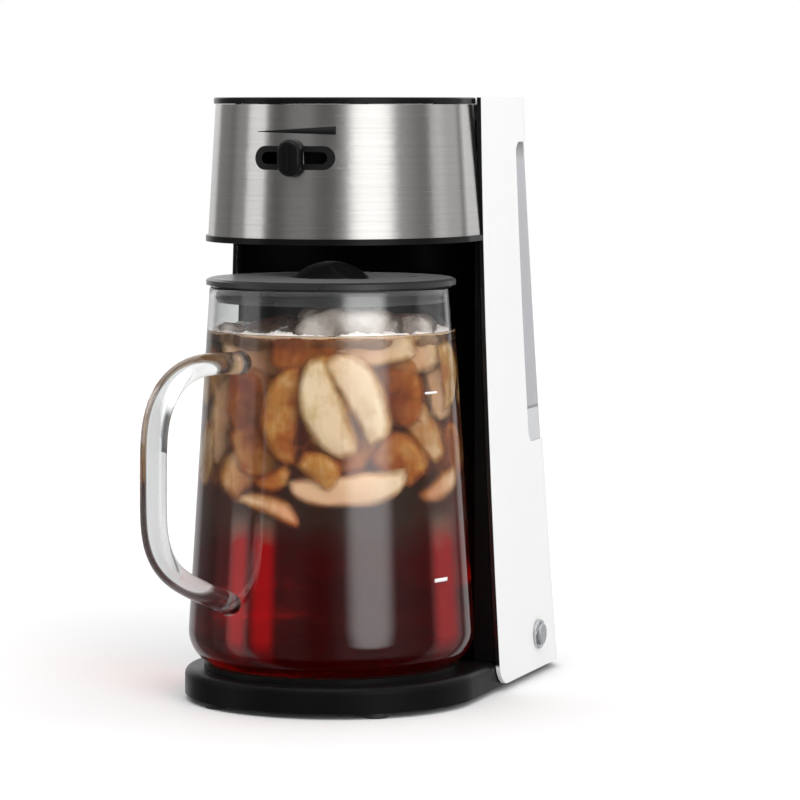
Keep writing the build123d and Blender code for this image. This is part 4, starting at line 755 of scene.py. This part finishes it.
def surface_lump(length, depth, height, seed):
    """A rounded lump, a superellipsoid with slow waves on it, which leans a little. The second
    result is how near a point is to the lump's two ends, from 0 to 1."""
    phase = np.random.default_rng(seed).uniform(0, TAU, 6)
    up = np.linspace(-math.pi / 2, math.pi / 2, 41)[:, None]
    around = full_turn(64)[None, :]
    x = length / 2 * squarer(np.cos(up), 0.8) * squarer(np.cos(around), 0.8)
    y = depth / 2 * squarer(np.cos(up), 0.8) * squarer(np.sin(around), 0.8)
    z = height / 2 * squarer(np.sin(up), 0.8) * np.ones_like(around)
    wave = (1 + 0.07 * np.sin(2 * around + phase[0]) * np.cos(up)
            + 0.05 * np.sin(5 * around + 3 * up + phase[1]) * np.cos(up)
            + 0.04 * np.sin(9 * around - 5 * up + phase[2]) * np.cos(up)
            + 0.06 * np.sin(4 * up + phase[3]) * np.cos(up))
    lean = 0.22 * math.sin(phase[4])
    points = np.stack([x * wave, y * wave, z * wave + lean * x], -1)
    return points, np.clip(1.2 * np.abs(np.cos(around)) ** 4 * np.cos(up), 0, 1)


# name, browning (tea colour and painted shade), side, height, depth, (length, depth, height), roll,
# seed
top_ice = [
    ("ice_top_main", 0.0, 10, 199, 24, (54, 28, 24), 11, 3),
    ("ice_top_left", 1.0, -34, 196, 26, (34, 24, 17), -8, 5),
    ("ice_top_right", 0.2, 46, 197, 20, (26, 22, 18), -10, 8),
    ("ice_top_far_left", 0.3, -56, 194.5, 14, (16, 12, 12), 0, 9),
    ("ice_top_back", 0.6, -8, 196, 62, (48, 30, 18), 4, 12),
    ("ice_top_back_right", 0.8, 34, 196, 58, (34, 26, 16), -8, 15),
]
for name, stain, side, z, depth, size, roll, seed in top_ice:
    points, to_edge = surface_lump(*size, seed)
    points = clear_of_glass(turned(points, roll) + inside_tea(side, z, depth))
    make_piece(name, points, "wet_ice", "pitcher", "clear_glass", to_edge=to_edge + stain)


# ---- Froth along the glass -------------------------------
FROTH_LEAST, FROTH_MOST = 0.6, 3.4      # half the height of its section
FROTH_WIDER = 1.5                       # its half width, for each millimetre of that
FROTH_HIGHER = 0.9


def froth():
    """A lumpy ring of froth where the tea meets the glass: a round section, flatter than it
    is wide, whose size follows a sum of waves round the pitcher."""
    turn = full_turn(900)[:, None]
    around = full_turn(14)[None, :]
    size = (1.9 + 0.7 * np.sin(7 * turn + 1) + 0.5 * np.sin(19 * turn + 2)
            + 0.35 * np.sin(43 * turn) + 0.2 * np.sin(97 * turn + 3))
    size = np.clip(size, FROTH_LEAST, FROTH_MOST)
    fine = 1 + 0.12 * np.sin(160 * turn + 3 * around) * np.sin(around)
    half_width = size * FROTH_WIDER
    r = wall_radius(TEA_TOP) - WALL - 0.1 - half_width + half_width * np.cos(around)
    z = TEA_TOP + 0.4 + size * FROTH_HIGHER * np.sin(around) * fine + 0.3 * np.sin(11 * turn)
    return np.stack([r * np.cos(turn), AXIS_Y + r * np.sin(turn), z], -1)


make_piece("froth_ring", froth(), "froth", "pitcher", "silicone", closed=(True, True))


# ---- Marks on the glass and on the band ------------------
def border(grid):
    """The points round the edge of a grid, in order."""
    return np.concatenate([grid[0], grid[1:-1, -1], grid[-1][::-1], grid[1:-1, 0][::-1]])


def glass_mark(name, side, low, high, half):
    """A thin printed patch on the outside of the leaning wall, between two heights, to both
    sides of the place that shows at side."""
    right, heights = np.meshgrid(np.linspace(side - half, side + half, 9),
                                 np.linspace(low, high, 5))
    under, over = (on_camera_side(right, np.sqrt((wall_radius(heights) + lift) ** 2 - right**2),
                                  heights) for lift in (0.02, 0.12))
    rings = [border(under), border(over)]
    middles = [np.repeat(sheet.mean((0, 1))[None], len(rings[0]), 0) for sheet in (under, over)]
    make_piece(name, np.stack([middles[0], *rings, middles[1]]), "mark_print", "pitcher",
               "clear_glass")


glass_mark("fill_mark_low", 56.7, 67.9, 69.8, 3.4)
glass_mark("fill_mark_high", 51.5, 165.2, 166.4, 3.2)

BAND_LOW, BAND_HIGH = 245.5, 314.5
BAND_HALF = (70.5, 66.4)        # half its width at its foot and at its top
BAND_FRONT = (58.5, 53.8)       # how far it stands out in front of the axis there
BAND_BACK = 17.5                # how far its widest place lies behind the axis


def band_point(x, z, out):
    """A point of the head's outside: half an ellipse in plan, which narrows with height."""
    t = (z - BAND_LOW) / (BAND_HIGH - BAND_LOW)
    half = BAND_HALF[0] + (BAND_HALF[1] - BAND_HALF[0]) * t + out
    front = BAND_FRONT[0] + (BAND_FRONT[1] - BAND_FRONT[0]) * t + out
    y = BAND_BACK - (BAND_BACK + front) * np.sqrt(1 - (x / half) ** 2)
    return np.stack([x, AXIS_Y + y, z], -1)


WEDGE_LEFT, WEDGE_RIGHT = -21, 22
WEDGE_FOOT, WEDGE_DROP = 299.0, 1.3     # its foot's height at the right, and its fall to there
WEDGE_THIN, WEDGE_GROWS = 0.25, 3.9     # its height at the left, and how much more it gets


def strength_wedge():
    """The wedge over the slot: a bar along the band that thickens from left to right, while
    its foot falls a little."""
    x = np.linspace(WEDGE_LEFT, WEDGE_RIGHT, 40)
    share = (x - WEDGE_LEFT) / (WEDGE_RIGHT - WEDGE_LEFT)
    low = WEDGE_FOOT + WEDGE_DROP * (1 - share)
    high = low + WEDGE_THIN + WEDGE_GROWS * share
    under, over = ([band_point(x, z, out) for z in (low, high)] for out in (0.02, 0.14))
    return with_ends(np.stack([*under, *over[::-1]], 1))


make_piece("strength_wedge", strength_wedge(), "wedge_print", "machine", "gloss_black")

LID_MIDDLE_Y, LID_DEEP, LID_HALF = -1.9, 71.6, 66.7     # the lid's half ellipse in plan
LIP_BACK, LIP_WIDE, LIP_HIGH, LIP_Z = 18.5, 1.1, 0.5, 314.85


def lid_lip():
    """A thin lip under the top lid's edge: a rounded bar along half an ellipse, straight back
    at both ends."""
    turn = np.linspace(-math.pi / 2, math.pi / 2, 121)
    straight = np.linspace(LIP_BACK, LID_MIDDLE_Y, 8)[:-1]
    ends = np.ones_like(straight)
    x = np.concatenate([-ends, np.sin(turn), ends])[:, None]
    y = np.concatenate([straight, LID_MIDDLE_Y - LID_DEEP * np.cos(turn), straight[::-1]])
    forwards = np.concatenate([0 * ends, np.cos(turn), 0 * ends])[:, None]
    around = full_turn(16)
    reach = LIP_WIDE / 2 * squarer(np.cos(around), 0.5)
    rise = LIP_HIGH / 2 * squarer(np.sin(around), 0.5)
    return with_ends(np.stack([x * (LID_HALF + reach), y[:, None] - forwards * reach,
                               LIP_Z + np.repeat(rise[None], len(x), 0)], -1))


make_piece("top_lid_lip", lid_lip(), "gloss_black", "top_lid", "gloss_black")


# ---- Handle ----------------------------------------------
HANDLE_TURN = math.radians(25)      # from straight forward, towards -X
HANDLE_THICK, HANDLE_WIDE = 11.6, 16.0
HANDLE_TOP, HANDLE_FOOT = 181.6, 57     # heights where it meets the wall
HANDLE_SINK = 1.5                       # how far its ends go into the wall
HANDLE_EASING = 30                      # rounds of easing its line, so that no knot shows
FLARE, FLARE_FADE = 0.1, 0.02           # how much its ends swell, and over what share of it


def smooth_line(knots, count):
    """A Catmull-Rom curve through the knots, at even steps of its length."""
    knots = np.asarray(knots, float)
    ends = np.vstack([2 * knots[0] - knots[1], knots, 2 * knots[-1] - knots[-2]])
    t = np.linspace(0, 1, 40, endpoint=False)[:, None]
    line = [0.5 * (2 * b + (c - a) * t + (2 * a - 5 * b + 4 * c - d) * t**2
                   + (3 * b - a - 3 * c + d) * t**3)
            for a, b, c, d in zip(ends, ends[1:], ends[2:], ends[3:])]
    line = np.vstack([*line, knots[-1:]])
    run = np.concatenate([[0], np.cumsum(np.linalg.norm(np.diff(line, axis=0), axis=1))])
    even = np.linspace(0, run[-1], count)
    return np.stack([np.interp(even, run, line[:, 0]), np.interp(even, run, line[:, 1])], 1)


def handle_points():
    """An oval rod along the handle's line, which flares where it is joined to the wall. Each
    point of the line is a distance from the axis and a height."""
    line = smooth_line([
        (wall_radius(HANDLE_TOP) - HANDLE_SINK, HANDLE_TOP), (76, 181.7), (88, 182),
        (98, 180.8), (107, 177.2), (114.6, 171.6), (120.2, 164), (123.8, 154.5), (125.2, 142),
        (125.5, 124), (125.5, 104), (123.9, 92.5), (119.2, 82.4), (111, 74.4), (100.5, 68.6),
        (89, 63.4), (wall_radius(HANDLE_FOOT) - HANDLE_SINK, HANDLE_FOOT)], 150)
    for _ in range(HANDLE_EASING):
        line[1:-1] = (line[:-2] + 2 * line[1:-1] + line[2:]) / 4
    ahead = np.gradient(line, axis=0)
    ahead /= np.linalg.norm(ahead, axis=1, keepdims=True)
    share = np.linspace(0, 1, len(line))[:, None]
    flare = 1 + FLARE * (np.exp(-share / FLARE_FADE) + np.exp(-(1 - share) / FLARE_FADE))
    around = full_turn(48)[None, :]
    in_plane = HANDLE_THICK / 2 * flare * np.cos(around)
    out = HANDLE_WIDE / 2 * (0.35 + 0.65 * flare) * np.sin(around)
    reach = line[:, :1] - in_plane * ahead[:, 1:]
    z = line[:, 1:] + in_plane * ahead[:, :1]
    return with_ends(np.stack([
        -reach * math.sin(HANDLE_TURN) + out * math.cos(HANDLE_TURN),
        AXIS_Y - reach * math.cos(HANDLE_TURN) - out * math.sin(HANDLE_TURN), z], -1))


handle = make_piece("pitcher_handle_rod", handle_points(), "clear_glass", "pitcher",
                    "clear_glass")
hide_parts("pitcher_handle")


# ---- Studio ----------------------------------------------
WALL_FULL, CEILING = 1.25, 1.2      # brightness of the brightest wall and of the ceiling
CEILING_RISE = (0.45, 0.75)         # sines of the angles where walls give way to it
FLOOR_SHARE = 0.6                   # how bright the walls are below the level
FLOOR_LIFT = (math.radians(-3), math.radians(5))
# direction in degrees from straight in front, towards +X, and the walls' brightness there
studio_walls = [
    (-180, 1.0), (-131, 1.0), (-126, 0.9), (-121, 0.33), (-100, 0.26), (-95, 0.2), (-86, 0.38),
    (-74, 0.4), (-71, 1.2), (-52, 1.2), (-49, 0.26), (-43, 0.15), (-36, 0.12), (-21, 0.26),
    (-6, 0.26), (6, 0.12), (16, 0.12), (22, 0.22), (28, 0.4), (36, 0.5), (73, 0.5), (77, 0.48),
    (85, 0.4), (96, 0.28), (108, 0.2), (112, 0.65), (122, 0.85), (131, 0.65), (148, 0.64),
    (152, 0.24), (156, 0.3), (160, 1.1),
]
KEY_LIGHT, KEY_DIMMED = 3.6, 0.64   # its brightness, and what satin surfaces lose of it
KEY_TURN, KEY_TURN_HALF = math.radians(53), math.radians(21.5)
KEY_LIFT, KEY_LIFT_HALF = math.radians(13), math.radians(23)
KEY_FADE = (0.7, 1.25)              # half widths from its middle between which it fades

world = bpy.data.worlds.new("studio")
bpy.context.scene.world = world
world.use_nodes = True
world.node_tree.nodes.clear()
studio = Nodes(world.node_tree)


def wall_light(turn, lift, rise):
    """Brightness of the walls, which give way to an even ceiling and to a dimmer floor."""
    steps = [((degrees + 180) / 360, grey(bright / WALL_FULL)) for degrees, bright in studio_walls]
    shares = studio.colour_steps(studio.scaled(turn, 1 / TAU, 0.5), steps)
    walls = studio.maths("MULTIPLY", shares, WALL_FULL)
    to_ceiling = studio.spread(rise, 0.0, 1.0, *CEILING_RISE, curve="SMOOTHSTEP")
    walls = studio.maths("MULTIPLY", walls, studio.maths("SUBTRACT", 1.0, to_ceiling))
    walls = studio.maths("ADD", walls, studio.maths("MULTIPLY", to_ceiling, CEILING))
    off_floor = studio.spread(lift, FLOOR_SHARE, 1.0, *FLOOR_LIFT, curve="SMOOTHSTEP")
    return studio.maths("MULTIPLY", walls, off_floor)


def key_light(turn, lift, path):
    """Brightness of an upright oval softbox, by the distance from its middle in half widths.
    Satin surfaces mirror its dimmer outer cloth, and sharp ones its lamp."""
    aside = studio.maths("DIVIDE", studio.maths("SUBTRACT", turn, KEY_TURN), KEY_TURN_HALF)
    above = studio.maths("DIVIDE", studio.maths("SUBTRACT", lift, KEY_LIFT), KEY_LIFT_HALF)
    off = studio.maths("SQRT", studio.maths("ADD", studio.maths("POWER", aside, 2.0),
                                            studio.maths("POWER", above, 2.0)))
    key = studio.spread(off, KEY_LIGHT, 0.0, *KEY_FADE, curve="SMOOTHSTEP")
    satin = studio.maths("MULTIPLY", path.outputs["Is Glossy Ray"],
                         studio.maths("SUBTRACT", 1.0, path.outputs["Is Singular Ray"]))
    dimmed = studio.maths("SUBTRACT", 1.0, studio.maths("MULTIPLY", satin, KEY_DIMMED))
    return studio.maths("MULTIPLY", key, dimmed)


def light_the_world():
    """The room lights the object, and the camera sees a plain white backdrop in its place."""
    place = studio.add("ShaderNodeTexCoord")
    path = studio.add("ShaderNodeLightPath")
    east, north, rise = studio.split(place.outputs["Generated"])
    turn = studio.maths("ARCTAN2", east, studio.maths("MULTIPLY", north, -1.0))
    lift = studio.maths("ARCSINE", rise)
    room, backdrop = (studio.add("ShaderNodeBackground") for _ in range(2))
    for background in (room, backdrop):
        studio.feed(background.inputs["Color"], grey(1))
    studio.feed(room.inputs["Strength"], studio.maths("ADD", wall_light(turn, lift, rise),
                                                      key_light(turn, lift, path)))
    seen = studio.mixed_shaders(path.outputs["Is Camera Ray"], room.outputs["Background"],
                                backdrop.outputs["Background"])
    studio.feed(studio.add("ShaderNodeOutputWorld").inputs["Surface"], seen)


light_the_world()

TABLE_HALF = 4                      # metres
TABLE_FADE = (0.16, 0.45)           # metres from the origin between which it turns white
TABLE_NEAR, TABLE_FAR = grey(0.84), grey(1.0)
TABLE_LIT = grey(0.62)              # its colour for the light that it throws on the object


def pale_table():
    """A matt table, pale round the object and white further off."""
    made = Finish("pale_table")
    path = made.add("ShaderNodeLightPath")
    away = made.add("ShaderNodeVectorMath", operation="LENGTH")
    made.feed(away.inputs[0], made.coordinates())
    seen = made.blend(made.spread(away.outputs["Value"], 0.0, 1.0, *TABLE_FADE), TABLE_NEAR,
                      TABLE_FAR)
    made.look(Base_Color=made.blend(path.outputs["Is Camera Ray"], TABLE_LIT, seen),
              Roughness=0.9, Specular_IOR_Level=0.0)
    return made


floor_mesh = bpy.data.meshes.new("table")
floor_mesh.from_pydata([(x * TABLE_HALF, y * TABLE_HALF, 0)
                        for x, y in ((-1, -1), (1, -1), (1, 1), (-1, 1))], [], [(0, 1, 2, 3)])
floor_mesh.materials.append(pale_table().material)
floor = bpy.data.objects.new("table", floor_mesh)
bpy.context.scene.collection.objects.link(floor)
floor.visible_glossy = False


def soft_lamp(name, place, aim_at, size, power, mirrored):
    """A square soft lamp that looks at a point, all in metres and watts. mirrored says whether
    glossy surfaces show it."""
    lamp = bpy.data.lights.new(name, "AREA")
    lamp.shape, lamp.size, lamp.energy = "SQUARE", size, power
    thing = bpy.data.objects.new(name, lamp)
    bpy.context.scene.collection.objects.link(thing)
    thing.location = place
    thing.rotation_mode = "QUATERNION"
    thing.rotation_quaternion = (Vector(aim_at) - Vector(place)).to_track_quat("-Z", "Y")
    thing.visible_camera = False
    thing.visible_glossy = mirrored


soft_lamp("lamp_over", place=(0.15, -0.7, 1.5), aim_at=(0, 0, 0.15), size=1.0, power=4,
          mirrored=True)
soft_lamp("lamp_side", place=(0.85, -0.75, 0.7), aim_at=(0.05, 0, 0.25), size=0.5, power=3,
          mirrored=False)
